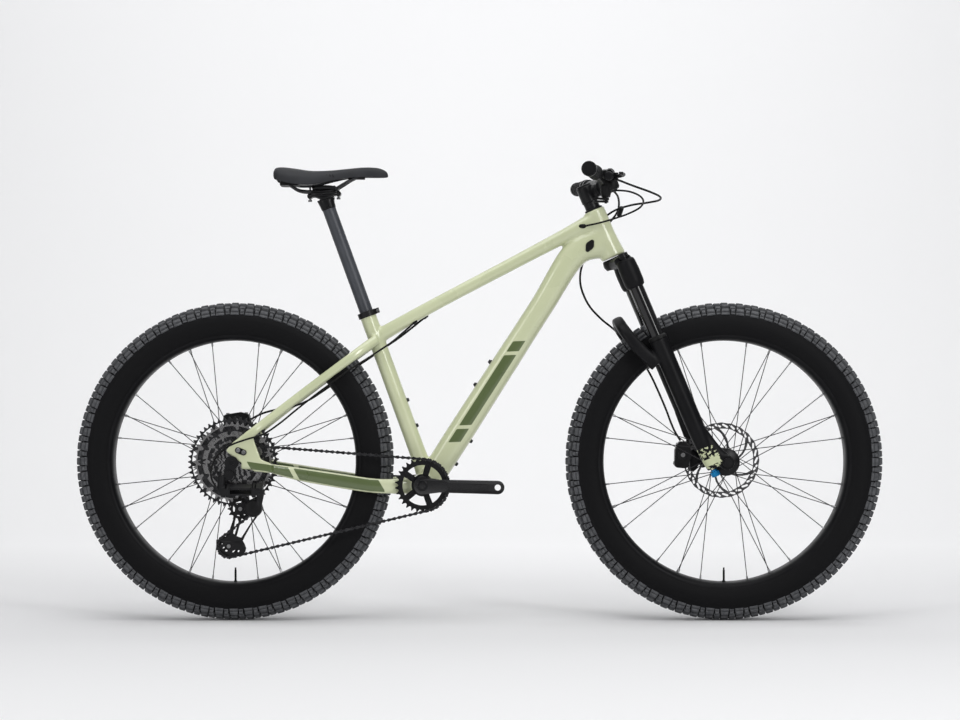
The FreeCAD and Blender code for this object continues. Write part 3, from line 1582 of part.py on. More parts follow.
def chain():
    solids = []
    for sign in (-1, 1):
        low = plate_inner_half_gap if sign > 0 else -plate_inner_half_gap - plate_thickness
        for piece in chain_pieces:
            if piece[0] == "arc":
                centre, radius, turn = piece[1]
                start = on_circle(piece[1], piece[2])
                out = unit(start - centre)
                base = centre + left * low
                corners = [base + out * (radius - plate_half_height), base + out * (radius + plate_half_height)]
                corners = corners + [corner + left * plate_thickness for corner in reversed(corners)]
                face = Part.Face(Part.makePolygon(corners + corners[:1]))
                solids.append(face.revolve(centre, left, -math.degrees(piece[3]) * turn))
            else:
                way = unit(piece[2] - piece[1])
                middle = (piece[1] + piece[2]) / 2 + left * (low + plate_thickness / 2)
                solids.append(block(middle, way, left, unit(way.cross(left)), piece_length(piece) / 2,
                                    plate_thickness / 2, plate_half_height))
    for number, place, way in rollers:
        solids.append(cross_rod(place, -plate_inner_half_gap, plate_inner_half_gap, roller_radius))
    return fused(solids)


# Rear derailleur

link_axis = vec(0, math.sin(math.radians(link_slant)), math.cos(math.radians(link_slant)))
link_across = vec(0, math.cos(math.radians(link_slant)), -math.sin(math.radians(link_slant)))


def link_pivot(inner, lower):
    base = rear_centre + vec(knuckle_lead, -knuckle_side, -knuckle_drop)
    offset = link_across * link_spacing if inner else vec(0, 0, 0)
    return base + offset + (forward * link_length if lower else vec(0, 0, 0))


def link_pin(pivot):
    reach = link_width / 2 + link_ear_thickness
    return rod(pivot - link_axis * reach, pivot + link_axis * reach, link_pin_radius)


def derailleur_link(inner):
    start = link_pivot(inner, False)
    end = link_pivot(inner, True)
    half = link_width / 2
    bar = block((start + end) / 2, forward, link_across, link_axis, link_length / 2, link_thickness / 2, half)
    eyes = [rod(point - link_axis * half, point + link_axis * half, link_eye_radius) for point in (start, end)]
    holes = [rod(point - link_axis * link_width, point + link_axis * link_width, link_pin_radius + running_fit)
             for point in (start, end)]
    body = fused([bar] + eyes)
    for hole in holes:
        body = body.cut(hole)
    return body


def link_ears(lower):
    outer = link_pivot(False, lower)
    inner = link_pivot(True, lower)
    solids = []
    for sign in (-1, 1):
        level = link_axis * (link_width / 2 + side_gap) * sign
        rise = link_axis * link_ear_thickness * sign
        solids.append(rod(outer + level, outer + level + rise, link_eye_radius))
        solids.append(rod(inner + level, inner + level + rise, link_eye_radius))
        solids.append(block((outer + inner) / 2 + level + rise / 2, forward, link_across, link_axis, link_eye_radius,
                            link_spacing / 2, link_ear_thickness / 2))
    solids.append(link_pin(outer))
    solids.append(link_pin(inner))
    return solids


def derailleur_knuckle():
    face = -(hub_half_rear + side_gap + dropout_thickness + hanger_thickness)
    bolt = rear_centre + vec(-hanger_setback, 0, -hanger_drop)
    ears = link_ears(False)
    middle = (link_pivot(False, False) + link_pivot(True, False)) / 2
    outer_reach = bolt.y - knuckle_side
    boss = cross_rod(bolt, outer_reach, face, hanger_arm_radius)
    pin = cross_rod(bolt, face, face + hanger_thickness, hanger_bolt_radius)
    web = block(middle - forward * (link_eye_radius * 2.2), forward, link_across, link_axis, link_eye_radius,
                link_spacing / 2 + link_eye_radius, link_width / 2 + link_ear_thickness)
    arm_radius = hanger_arm_radius * 0.8
    arm_side = left * (face - side_gap - arm_radius)
    arm_start = bolt - forward * hanger_arm_radius * 1.45 + arm_side
    arm_end = vec(middle.x - link_eye_radius * 3.4, 0, middle.z) + arm_side
    arm = rod(arm_start, arm_end, arm_radius)
    joints = []
    for sign in (-1, 1):
        level = link_axis * (link_width / 2 + side_gap + link_ear_thickness / 2) * sign
        joints.append(block(middle - forward * link_eye_radius * 1.3 + level, forward, link_across, link_axis,
                            link_eye_radius * 1.3, link_spacing / 2, link_ear_thickness / 2))
    return fused([boss, pin, web, arm] + ears + joints)


def derailleur_body():
    ears = link_ears(True)
    middle = (link_pivot(False, True) + link_pivot(True, True)) / 2
    pivot, guide, tension = cage_place(cage_degrees)
    barrel = rod(vec(pivot.x, -barrel_outer, pivot.z), vec(pivot.x, -barrel_inner, pivot.z), barrel_radius)
    hollow = rod(vec(pivot.x, -barrel_inner - cage_boss_depth, pivot.z), vec(pivot.x, 0, pivot.z),
                 cage_pin_radius + running_fit)
    web = block(middle + forward * (link_eye_radius * 2.8), forward, link_across, link_axis, link_eye_radius * 1.6,
                link_spacing / 2 + link_eye_radius, link_width / 2 + link_ear_thickness)
    joints = []
    for sign in (-1, 1):
        level = link_axis * (link_width / 2 + side_gap + link_ear_thickness / 2) * sign
        joints.append(block(middle + forward * link_eye_radius * 1.3 + level, forward, link_across, link_axis,
                            link_eye_radius * 1.3, link_spacing / 2, link_ear_thickness / 2))
    arm_start = middle + forward * (link_eye_radius * 3.6)
    arm_end = vec(pivot.x + barrel_radius * 0.7, -barrel_outer + barrel_radius / 2, pivot.z + barrel_radius * 0.4)
    arm = rod(arm_start, arm_end, link_eye_radius * 1.6)
    body = fused([barrel, web, arm] + ears + joints)
    return body.cut(hollow)


def cage_plate(side, thickness):
    pivot, guide, tension = cage_place(cage_degrees)
    shift = left * side
    depth = left * thickness
    solids = []
    for point in (guide, tension):
        solids.append(rod(point + shift, point + shift + depth, cage_plate_radius))
    way = unit(tension - guide)
    across = unit(way.cross(left))
    solids.append(block((guide + tension) / 2 + shift + depth / 2, way, across, left, (tension - guide).Length / 2,
                        cage_plate_radius * 0.8, thickness / 2))
    return solids


def derailleur_cage():
    pivot, guide, tension = cage_place(cage_degrees)
    outer_side = -cage_plate_gap - cage_plate_thickness
    outer = cage_plate(outer_side, cage_plate_thickness)
    inner = cage_plate(cage_plate_gap, cage_plate_thickness)
    depth = left * cage_plate_thickness
    shift = left * outer_side
    way = unit(guide - pivot)
    outer.append(rod(pivot + shift, pivot + shift + depth, barrel_radius))
    outer.append(block((guide + pivot) / 2 + shift + depth / 2, way, unit(way.cross(left)), left,
                       (guide - pivot).Length / 2, cage_plate_radius * 0.9, cage_plate_thickness / 2))
    pin = rod(pivot + shift, vec(pivot.x, -barrel_inner - cage_boss_depth + side_gap, pivot.z), cage_pin_radius)
    bolts = [cross_rod(point, outer_side, cage_plate_gap + cage_plate_thickness, pulley_bolt_radius)
             for point in (guide, tension)]
    return fused(outer + inner + [pin] + bolts)


def pulley(point, circle_number):
    body = toothed_disc(point, pulley_teeth, tooth_phase(circle_number), pulley_thickness)
    hub_half = cage_plate_gap - side_gap
    radius = pitch_radius(pulley_teeth) * pulley_bore_share
    hub = cross_rod(point, -hub_half, hub_half, radius)
    return fused([body, hub]).cut(cross_rod(point, -overrun, overrun, pulley_bolt_radius + pulley_bore_gap))


# Cables, by their points from the lever end

def front_brake_hose():
    points = [vec(306, 172.5, 1029), vec(316, 140, 1024), vec(332, 112, 1004), vec(330, 86, 968), vec(302, 66, 930),
              vec(268, 58, 884), vec(244, 56, 838), vec(240, 58, 792), vec(258, 64, 746), vec(288, 78, 712),
              vec(322, 96, 685), vec(356, 107, 652), vec(386, 110, 615), vec(410, 108, 576), vec(429, 103, 535),
              vec(446, 95, 494), vec(457, 85, 463), vec(466, 73, 441), vec(477.5, 57, 421)]
    return cord("front_brake_hose", points, hose_radius)


def rear_brake_hose():
    front = [vec(306, -172.5, 1029), vec(324, -142, 1026), vec(356, -114, 1016), vec(396, -86, 1004),
             vec(422, -48, 995), vec(423, -4, 989), vec(398, 28, 985), vec(360, 45, 980), vec(322, 51, 968),
             vec(292, 47, 948), vec(270, 37, 934), vec(247.8, 25.6, 927.2)]
    rear = [vec(-130, 8, 708), vec(-160, 17, 688), vec(-192, 28, 664), vec(-222, 38, 644), vec(-254, 50, 622),
            vec(-290, 62, 598), vec(-330, 66, 569), vec(-372, 67, 539), vec(-412, 66, 514), vec(-450, 66, 500),
            vec(-488, 70, 493), vec(-520, 76, 484), vec(-546.8, 80, 470.5)]
    return Part.makeCompound([cord("rear_brake_hose front", front, hose_radius),
                              cord("rear_brake_hose rear", rear, hose_radius)])


def shift_cable():
    front = [vec(309, -206, 1000), vec(340, -200, 998), vec(366, -176, 990), vec(378, -140, 979),
             vec(372, -103, 966), vec(346, -76, 953), vec(312, -57, 942), vec(278, -41, 933), vec(247.8, -25.6, 927.2)]
    rear = [vec(-152, -10, 695), vec(-180, -20, 676), vec(-208, -31, 653), vec(-240, -42, 631), vec(-272, -54, 610),
            vec(-306, -66, 588), vec(-344, -72, 560), vec(-384, -77, 530), vec(-426, -84, 497), vec(-466, -96, 464),
            vec(-502, -112, 440), vec(-541, -121, 428), vec(-580, -125, 413), vec(-609, -125, 388),
            vec(-622, -123, 358), vec(-620, -122.3, 335), vec(-610.6, -122.1, 318.5)]
    return Part.makeCompound([cord("shift_cable front", front, cable_radius),
                              cord("shift_cable rear", rear, cable_radius)])


# Build every node and write it out

def build():
    upper_tube = top_tube()
    cutters = boss_cutters()
    lower_tube = down_tube()
    stay = chainstay()
    seat_body = seat_tube()
    upper_stay = seatstay([seat_tube_outer(), top_tube_outer(), stay])
    head = head_tube()
    for cutter in cutters + [port_cover(), cable_port(-1), cable_port(1)]:
        seat_body = seat_body.cut(cutter)
        lower_tube = lower_tube.cut(cutter)
        head = head.cut(cutter)
        upper_tube = upper_tube.cut(cutter)
    pivot, guide, tension = cage_place(cage_degrees)
    front_flanges = (-front_flange_side, front_flange_side, front_flange_radius)
    rear_flanges = (rear_flange_right, rear_flange_left, rear_flange_radius)
    return {
        "head_tube": head,
        "top_tube": upper_tube,
        "down_tube": lower_tube,
        "seat_tube": seat_body,
        "chainstay_right": stay,
        "chainstay_left": fused([mirrored(stay), caliper_dropout_tab(mirrored(upper_stay))]),
        "seatstay_right": upper_stay,
        "seatstay_left": mirrored(upper_stay),
        "derailleur_hanger": derailleur_hanger(),
        "frame_fittings": frame_fittings(),
        "frame_bearings": frame_bearings(),
        "rear_axle": rear_axle(),
        "rear_caliper": caliper(rear_centre, rear_caliper_degrees, hub_half_rear - rotor_inset),
        "seat_collar": seat_collar(),
        "seatpost": seatpost(),
        "saddle_mount": saddle_mount(),
        "saddle_shell": saddle_shell(),
        "saddle_pad": saddle_pad(),
        "fork_crown": fork_crown(),
        "stanchions": stanchions(),
        "headset_spacers": headset_spacers(),
        "stem": stem(),
        "handlebar": handlebar(),
        "grips": grips(),
        "brake_lever_bodies": brake_lever_bodies(),
        "shifter_body": shifter_body(),
        "brake_lever_right": brake_lever(-1),
        "brake_lever_left": brake_lever(1),
        "shift_paddle_main": shift_paddle_main(),
        "shift_paddle_release": shift_paddle_release(),
        "compression_knob": compression_knob(),
        "fork_lowers": fork_lowers(),
        "front_axle": front_axle(),
        "front_caliper": caliper(front_centre, front_caliper_degrees, hub_half_front - rotor_inset),
        "rebound_knob": rebound_knob(),
        "front_tyre": tyre(front_centre),
        "front_rim": rim(front_centre),
        "front_spokes": spokes(front_centre, *front_flanges),
        "front_hub": front_hub(),
        "front_rotor": rotor(front_centre, hub_half_front - rotor_inset, front_cap_radius),
        "rear_tyre": tyre(rear_centre),
        "rear_rim": rim(rear_centre),
        "rear_spokes": spokes(rear_centre, *rear_flanges),
        "rear_hub": rear_hub(),
        "rear_rotor": rotor(rear_centre, hub_half_rear - rotor_inset, rear_cap_radius),
        "cassette": cassette(),
        "crank_right": crank_right(),
        "crank_left": crank_left(),
        "chainring": chainring(),
        "chain": chain(),
        "derailleur_knuckle": derailleur_knuckle(),
        "derailleur_outer_link": derailleur_link(False),
        "derailleur_inner_link": derailleur_link(True),
        "derailleur_body": derailleur_body(),
        "derailleur_cage": derailleur_cage(),
        "guide_pulley": pulley(guide, 2),
        "tension_pulley": pulley(tension, 1),
        "front_brake_hose": front_brake_hose(),
        "rear_brake_hose": rear_brake_hose(),
        "shift_cable": shift_cable(),
    }


os.makedirs("parts", exist_ok=True)
for name, shape in build().items():
    shape.exportStep("parts/" + name + ".step")
    print(name, len(shape.Solids), "solids", round(shape.Volume / 1000, 1), "cm3", shape.isValid())
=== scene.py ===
import math
import bmesh
import bpy
from mathutils import Matrix, Vector
from mathutils.geometry import tessellate_polygon


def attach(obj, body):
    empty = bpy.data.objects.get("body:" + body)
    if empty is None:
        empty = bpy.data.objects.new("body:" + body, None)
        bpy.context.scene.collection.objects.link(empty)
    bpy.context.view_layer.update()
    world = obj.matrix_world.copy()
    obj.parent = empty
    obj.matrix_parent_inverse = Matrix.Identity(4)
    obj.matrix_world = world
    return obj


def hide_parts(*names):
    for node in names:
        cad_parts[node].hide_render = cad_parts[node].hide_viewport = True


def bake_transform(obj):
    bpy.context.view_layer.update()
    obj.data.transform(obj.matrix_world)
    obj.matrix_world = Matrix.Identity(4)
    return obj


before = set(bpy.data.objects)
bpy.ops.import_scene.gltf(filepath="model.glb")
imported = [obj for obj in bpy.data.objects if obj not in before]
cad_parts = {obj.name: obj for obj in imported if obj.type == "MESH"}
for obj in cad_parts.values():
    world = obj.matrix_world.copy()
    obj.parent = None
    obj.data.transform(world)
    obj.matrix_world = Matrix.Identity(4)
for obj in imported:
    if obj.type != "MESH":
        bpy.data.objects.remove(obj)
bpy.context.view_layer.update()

unit = 0.001
left = Vector((0, 1, 0))
up = Vector((0, 0, 1))
forward = Vector((1, 0, 0))

# Places shared by many pieces, in mm
rearCentre = Vector((-576, 0, 373.5))
frontCentre = Vector((576, 0, 373.5))
bracketCentre = Vector((-133.02, 0, 320))
headTop = Vector((269.22, 0, 965.71))
steerDown = Vector((.39073, 0, -.92050))
steerAhead = Vector((.92050, 0, .39073))
seatFoot = Vector((-119.42, 0, 320))
seatUp = Vector((-.34202, 0, .93969))
seatAhead = Vector((.93969, 0, .34202))
chainSide = -74.75
pitch = 12.7


def steer(along, ahead=0, side=0):
    return headTop + steerDown * along + steerAhead * ahead + left * side


def seat(height, ahead=0, side=0):
    return seatFoot + seatUp * height + seatAhead * ahead + left * side


# Shells: lists of points in mm and faces


def joined(shells):
    verts, faces = [], []
    for shellVerts, shellFaces in shells:
        base = len(verts)
        verts += shellVerts
        faces += [tuple(base + i for i in face) for face in shellFaces]
    return verts, faces


def sideVectors(axis, hint=left):
    across = hint - axis * hint.dot(axis)
    if across.length < 0.05:
        across = forward - axis * forward.dot(axis)
    across.normalize()
    return across, axis.cross(across)


def loftShell(rings):
    count = len(rings[0])
    verts = [Vector(p) for ring in rings for p in ring]
    faces = []
    for row in range(len(rings) - 1):
        for i in range(count):
            a, b = row * count + i, row * count + (i + 1) % count
            faces.append((a, b, b + count, a + count))
    faces.append(tuple(reversed(range(count))))
    faces.append(tuple(range((len(rings) - 1) * count, len(rings) * count)))
    return verts, faces


def circleRing(middle, across, rise, radius, sides):
    turns = [math.tau * i / sides for i in range(sides)]
    return [middle + (across * math.cos(t) + rise * math.sin(t)) * radius for t in turns]


def wayAt(points, i):
    return (points[min(i + 1, len(points) - 1)] - points[max(i - 1, 0)]).normalized()


def turnedShell(base, axis, profile, sides=40):
    axis = Vector(axis).normalized()
    across, rise = sideVectors(axis)
    return loftShell([circleRing(Vector(base) + axis * along, across, rise, radius, sides)
                      for along, radius in profile])


def rodShell(a, b, radius, endRadius=None, sides=32):
    way = Vector(b) - Vector(a)
    return turnedShell(a, way, [(0, radius), (way.length, radius if endRadius is None else endRadius)], sides)


def hoopShell(centre, axis, profile, segments=96):
    axis = Vector(axis).normalized()
    across, rise = sideVectors(axis, up)
    count = len(profile)
    verts, faces = [], []
    for step in range(segments):
        t = math.tau * step / segments
        way = across * math.cos(t) + rise * math.sin(t)
        verts += [Vector(centre) + axis * along + way * radius for along, radius in profile]
    for step in range(segments):
        after = (step + 1) % segments
        for i in range(count):
            j = (i + 1) % count
            faces.append((step * count + i, step * count + j, after * count + j, after * count + i))
    return verts, faces


def smoothPath(points, steps=6):
    points = [Vector(p) for p in points]
    padded = [points[0] * 2 - points[1]] + points + [points[-1] * 2 - points[-2]]
    out = []
    for i in range(1, len(padded) - 2):
        p0, p1, p2, p3 = padded[i - 1:i + 3]
        for s in range(steps):
            t = s / steps
            out.append(0.5 * ((2 * p1) + (p2 - p0) * t + (2 * p0 - 5 * p1 + 4 * p2 - p3) * t * t
                              + (3 * p1 - p0 - 3 * p2 + p3) * t ** 3))
    out.append(points[-1])
    return out


def spread(values, steps=6):
    path = smoothPath([(v, 0, 0) for v in values], steps)
    return [p.x for p in path]


def sweepShell(points, radii, sides=16):
    if not isinstance(radii, list):
        radii = [radii] * len(points)
    rings, across = [], None
    for i, point in enumerate(points):
        way = wayAt(points, i)
        across = sideVectors(way)[0] if across is None else (across - way * across.dot(way)).normalized()
        rings.append(circleRing(point, across, way.cross(across), radii[i], sides))
    return loftShell(rings)


def roundedRing(centre, across, rise, halfAcross, halfRise, power=2.6, sides=36):
    ring = []
    for i in range(sides):
        c, s = math.cos(math.tau * i / sides), math.sin(math.tau * i / sides)
        u = math.copysign(abs(c) ** (2 / power), c) * halfAcross
        v = math.copysign(abs(s) ** (2 / power), s) * halfRise
        ring.append(centre + across * u + rise * v)
    return ring


def tubeShell(stations, power=2.6, steps=6, sides=36):
    points = smoothPath([s[0] for s in stations], steps)
    wide, high = (spread([s[i] for s in stations], steps) for i in (1, 2))
    rings = []
    for i, point in enumerate(points):
        across, rise = sideVectors(wayAt(points, i))
        rings.append(roundedRing(point, across, rise, wide[i], high[i], power, sides))
    return loftShell(rings)


def wheelPlace(centre):
    return lambda u, v, depth: Vector((centre.x + u, depth, centre.z + v))


def plateShell(outer, holes, near, far, place):
    loops = [outer] + list(holes)
    flat = [(u, v) for loop in loops for u, v in loop]
    triangles = tessellate_polygon([[Vector((u, v, 0)) for u, v in loop] for loop in loops])
    count = len(flat)
    verts = [place(u, v, near) for u, v in flat] + [place(u, v, far) for u, v in flat]
    faces = [tuple(t) for t in triangles] + [tuple(i + count for i in reversed(t)) for t in triangles]
    base = 0
    for loop in loops:
        for i in range(len(loop)):
            a, b = base + i, base + (i + 1) % len(loop)
            faces.append((a, b, b + count, a + count))
        base += len(loop)
    return verts, faces


def circlePoints(u, v, radius, sides=24):
    turns = [math.tau * i / sides for i in range(sides)]
    return [(u + radius * math.cos(t), v + radius * math.sin(t)) for t in turns]


def slotPoints(u, v, angle, halfLong, halfWide, sides=6):
    points = []
    for end in (0, 1):
        for i in range(sides + 1):
            t = math.pi * i / sides - math.pi / 2 + math.pi * end
            a = halfWide * math.cos(t) + (halfLong if end == 0 else -halfLong)
            b = halfWide * math.sin(t)
            points.append((u + a * math.cos(angle) - b * math.sin(angle),
                           v + a * math.sin(angle) + b * math.cos(angle)))
    return points


def hullPoints(circles, sides=40):
    cloud = [p for u, v, r in circles for p in circlePoints(u, v, r, sides)]
    cloud = sorted(set((round(u, 4), round(v, 4)) for u, v in cloud))

    def half(points):
        chain = []
        for p in points:
            while len(chain) > 1 and ((chain[-1][0] - chain[-2][0]) * (p[1] - chain[-2][1])
                                      - (chain[-1][1] - chain[-2][1]) * (p[0] - chain[-2][0])) <= 0:
                chain.pop()
            chain.append(p)
        return chain[:-1]
    return half(cloud) + half(list(reversed(cloud)))


def blockShell(centre, ax, ay, az, halves, power=6, sides=24):
    ends = [Vector(centre) + az * halves[2] * share for share in (-1, 1)]
    return loftShell([roundedRing(end, ax, ay, halves[0], halves[1], power, sides) for end in ends])


# Objects from shells


def mirrored(rows):
    return [(-row[0],) + row[1:] for row in reversed(rows[1:])] + rows


def baked(obj):
    graph = bpy.context.evaluated_depsgraph_get()
    mesh = bpy.data.meshes.new_from_object(obj.evaluated_get(graph))
    mesh.name = obj.name
    obj.modifiers.clear()
    obj.data = mesh
    return obj


def shaded(obj, crease):
    obj.data.shade_smooth()
    obj.data.set_sharp_from_angle(angle=math.radians(crease))


def linked(name, data):
    obj = bpy.data.objects.new(name, data)
    bpy.context.collection.objects.link(obj)
    return obj


bevelFrom = math.radians(40)


def makePiece(name, shells, material, bevel=0, crease=38, steps=2):
    verts, faces = joined(shells)
    mesh = bpy.data.meshes.new(name)
    mesh.from_pydata([v * unit for v in verts], [], faces)
    work = bmesh.new()
    work.from_mesh(mesh)
    bmesh.ops.recalc_face_normals(work, faces=work.faces)
    work.to_mesh(mesh)
    work.free()
    mesh.materials.append(material)
    obj = linked(name, mesh)
    shaded(obj, crease)
    if bevel:
        mod = obj.modifiers.new("edges", "BEVEL")
        mod.width = bevel * unit
        mod.segments = steps
        mod.limit_method = "ANGLE"
        mod.angle_limit = bevelFrom
        mod.use_clamp_overlap = True
        mod.harden_normals = True
        baked(obj)
    return obj


def settle(obj, body, slot, *replaced):
    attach(obj, body)
    if replaced:
        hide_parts(*replaced)
    return obj


# Geometry Nodes: copies turned round an axis, and copies along a path


def newTree(name, kind, inputs, outputs):
    tree = bpy.data.node_groups.new(name, kind)
    for way, sockets in (("INPUT", inputs), ("OUTPUT", outputs)):
        for label, socket in sockets:
            tree.interface.new_socket(label, in_out=way, socket_type="NodeSocket" + socket)
    return tree, tree.nodes.new("NodeGroupInput").outputs, tree.nodes.new("NodeGroupOutput").inputs


def wire(tree, *pairs):
    for start, end in pairs:
        tree.links.new(start, end)


def endWithCopies(tree, given, out, points, copy, rotation):
    place, real, paint = (tree.nodes.new("GeometryNode" + kind) for kind in (
        "InstanceOnPoints", "RealizeInstances", "SetMaterial"))
    wire(tree, (points, place.inputs["Points"]), (copy, place.inputs["Instance"]),
         (rotation, place.inputs["Rotation"]), (place.outputs[0], real.inputs[0]),
         (real.outputs[0], paint.inputs["Geometry"]), (given["Finish"], paint.inputs["Material"]),
         (paint.outputs[0], out[0]))
    return tree


def ringTree():
    tree, given, out = newTree("ringCopies", "GeometryNodeTree", (
        ("Geometry", "Geometry"), ("Count", "Int"), ("Axis", "Vector"), ("Centre", "Vector"),
        ("Phase", "Float"), ("Finish", "Material")), (("Geometry", "Geometry"),))
    line, index, rotate = (tree.nodes.new(kind) for kind in (
        "GeometryNodeMeshLine", "GeometryNodeInputIndex", "FunctionNodeAxisAngleToRotation"))
    share, turn, phase = (tree.nodes.new("ShaderNodeMath") for step in range(3))
    share.operation, turn.operation, phase.operation = "DIVIDE", "MULTIPLY", "ADD"
    line.inputs["Offset"].default_value = (0, 0, 0)
    turn.inputs[1].default_value = math.tau
    wire(tree, (given["Count"], line.inputs["Count"]), (given["Centre"], line.inputs["Start Location"]),
         (index.outputs[0], share.inputs[0]), (given["Count"], share.inputs[1]),
         (share.outputs[0], turn.inputs[0]), (turn.outputs[0], phase.inputs[0]),
         (given["Phase"], phase.inputs[1]), (given["Axis"], rotate.inputs["Axis"]),
         (phase.outputs[0], rotate.inputs["Angle"]))
    return endWithCopies(tree, given, out, line.outputs[0], given["Geometry"], rotate.outputs[0])


def pathTree():
    tree, given, out = newTree("pathCopies", "GeometryNodeTree", (
        ("Geometry", "Geometry"), ("Copy", "Object"), ("Finish", "Material")), (("Geometry", "Geometry"),))
    info, named, rotate = (tree.nodes.new(kind) for kind in (
        "GeometryNodeObjectInfo", "GeometryNodeInputNamedAttribute", "FunctionNodeAxisAngleToRotation"))
    named.inputs["Name"].default_value = "turn"
    rotate.inputs["Axis"].default_value = (0, 1, 0)
    wire(tree, (given["Copy"], info.inputs["Object"]), (named.outputs["Attribute"], rotate.inputs["Angle"]))
    return endWithCopies(tree, given, out, given["Geometry"], info.outputs["Geometry"], rotate.outputs[0])


ringCopies, pathCopies = ringTree(), pathTree()


def copied(obj, group, crease, values):
    mod = obj.modifiers.new("copies", "NODES")
    mod.node_group = group
    for item in group.interface.items_tree:
        if item.in_out == "INPUT" and item.name in values:
            mod[item.identifier] = values[item.name]
    baked(obj)
    shaded(obj, crease)
    return obj


def ringPiece(name, shells, count, axis, centre, material, phase=0.0, crease=38):
    obj = makePiece(name, shells, material, 0, crease)
    return copied(obj, ringCopies, crease, {
        "Count": count, "Axis": tuple(axis), "Phase": phase, "Finish": material,
        "Centre": tuple(Vector(centre) * unit)})


def pathPiece(name, places, shells, material, crease=38):
    copy = makePiece(name + "Copy", shells, material, 0, crease)
    mesh = bpy.data.meshes.new(name)
    mesh.from_pydata([p * unit for p, angle in places], [], [])
    turns = mesh.attributes.new("turn", "FLOAT", "POINT")
    turns.data.foreach_set("value", [angle for p, angle in places])
    obj = copied(linked(name, mesh), pathCopies, crease, {"Copy": copy, "Finish": material})
    bpy.data.objects.remove(copy)
    return obj


def mergePieces(name, objs):
    work = bmesh.new()
    for obj in objs:
        work.from_mesh(obj.data)
    mesh = bpy.data.meshes.new(name)
    work.to_mesh(mesh)
    work.free()
    mesh.materials.append(objs[0].data.materials[0])
    for obj in objs:
        bpy.data.objects.remove(obj)
    return linked(name, mesh)


# Shader groups: each gives out only masks and normals
grain = {
    "broadDetail": 4, "fineDetail": 3, "depth": 0.0004, "middle": (0.3, 0.7), "brushed": (40, 1200, 0.04),
    "brushedSpan": (0.2, 0.8)}


def grainGroup():
    tree, given, out = newTree("surfaceGrain", "ShaderNodeTree", (
        ("Broad scale", "Float"), ("Fine scale", "Float"), ("Relief", "Float")), (
        ("Broad", "Float"), ("Fine", "Float"), ("Normal", "Vector")))
    coords, broad, fine, bump = (tree.nodes.new("ShaderNode" + kind) for kind in (
        "TexCoord", "TexNoise", "TexNoise", "Bump"))
    broad.inputs["Detail"].default_value = grain["broadDetail"]
    fine.inputs["Detail"].default_value = grain["fineDetail"]
    bump.inputs["Distance"].default_value = grain["depth"]
    wire(tree, (coords.outputs["Object"], broad.inputs["Vector"]),
         (coords.outputs["Object"], fine.inputs["Vector"]),
         (given["Broad scale"], broad.inputs["Scale"]), (given["Fine scale"], fine.inputs["Scale"]),
         (given["Relief"], bump.inputs["Strength"]), (fine.outputs["Fac"], bump.inputs["Height"]),
         (broad.outputs["Fac"], out["Broad"]), (fine.outputs["Fac"], out["Fine"]),
         (bump.outputs["Normal"], out["Normal"]))
    return tree


surfaceGrain = grainGroup()


class Maker:
    def __init__(self, name, broad, fine, relief):
        self.material = bpy.data.materials.new(name)
        self.material.use_nodes = True
        self.nodes, self.links = self.material.node_tree.nodes, self.material.node_tree.links
        self.shader = self.nodes["Principled BSDF"]
        self.grain = self.addGrain(broad, fine, relief)
        self.broad, self.fine = self.grain["Broad"], self.grain["Fine"]

    def addGrain(self, broad, fine, relief):
        node = self.nodes.new("ShaderNodeGroup")
        node.node_tree = surfaceGrain
        for name, value in (("Broad scale", broad), ("Fine scale", fine), ("Relief", relief)):
            node.inputs[name].default_value = value
        return node.outputs

    def fill(self, socket, value):
        if isinstance(value, (int, float)):
            socket.default_value = value
        else:
            self.links.new(value, socket)

    def math(self, operation, *values):
        node = self.nodes.new("ShaderNodeMath")
        node.operation = operation
        for socket, value in zip(node.inputs, values):
            self.fill(socket, value)
        return node.outputs[0]

    def span(self, value, low, high, toLow=0.0, toHigh=1.0):
        node = self.nodes.new("ShaderNodeMapRange")
        for name, amount in (("From Min", low), ("From Max", high), ("To Min", toLow), ("To Max", toHigh)):
            node.inputs[name].default_value = amount
        self.links.new(value, node.inputs["Value"])
        return node.outputs["Result"]

    def mix(self, factor, a, b):
        node = self.nodes.new("ShaderNodeMix")
        node.data_type = "RGBA"
        self.links.new(factor, node.inputs["Factor"])
        for name, value in (("A", a), ("B", b)):
            socket = [s for s in node.inputs if s.name == name and s.type == "RGBA"][0]
            if isinstance(value, tuple):
                socket.default_value = value + (1,)
            else:
                self.links.new(value, socket)
        return [s for s in node.outputs if s.type == "RGBA"][0]

    def attribute(self, name):
        node = self.nodes.new("ShaderNodeAttribute")
        node.attribute_name = name
        return node.outputs["Fac"]

    def place(self):
        coords, parts = self.nodes.new("ShaderNodeTexCoord"), self.nodes.new("ShaderNodeSeparateXYZ")
        self.links.new(coords.outputs["Object"], parts.inputs[0])
        return parts.outputs

    # distance from the nearer wheel's axle, in metres
    def wheelRadius(self):
        place = self.place()
        ahead = self.math("SUBTRACT", self.math("ABSOLUTE", place["X"]), frontCentre.x * unit)
        above = self.math("SUBTRACT", place["Z"], frontCentre.z * unit)
        return self.math("SQRT", self.math("ADD",
                                           *(self.math("MULTIPLY", part, part) for part in (ahead, above))))

    def feed(self, **inputs):
        for name, value in inputs.items():
            self.fill(self.shader.inputs[name.replace("_", " ")], value)
        return self.material

    # seen from its back the surface is clear
    def clearBehind(self):
        face, clear, blend = (self.nodes.new("ShaderNode" + kind) for kind in (
            "NewGeometry", "BsdfTransparent", "MixShader"))
        out = next(n for n in self.nodes if n.type == "OUTPUT_MATERIAL")
        solid = out.inputs["Surface"].links[0].from_socket
        wire(self, (face.outputs["Backfacing"], blend.inputs[0]), (solid, blend.inputs[1]),
             (clear.outputs[0], blend.inputs[2]), (blend.outputs[0], out.inputs["Surface"]))


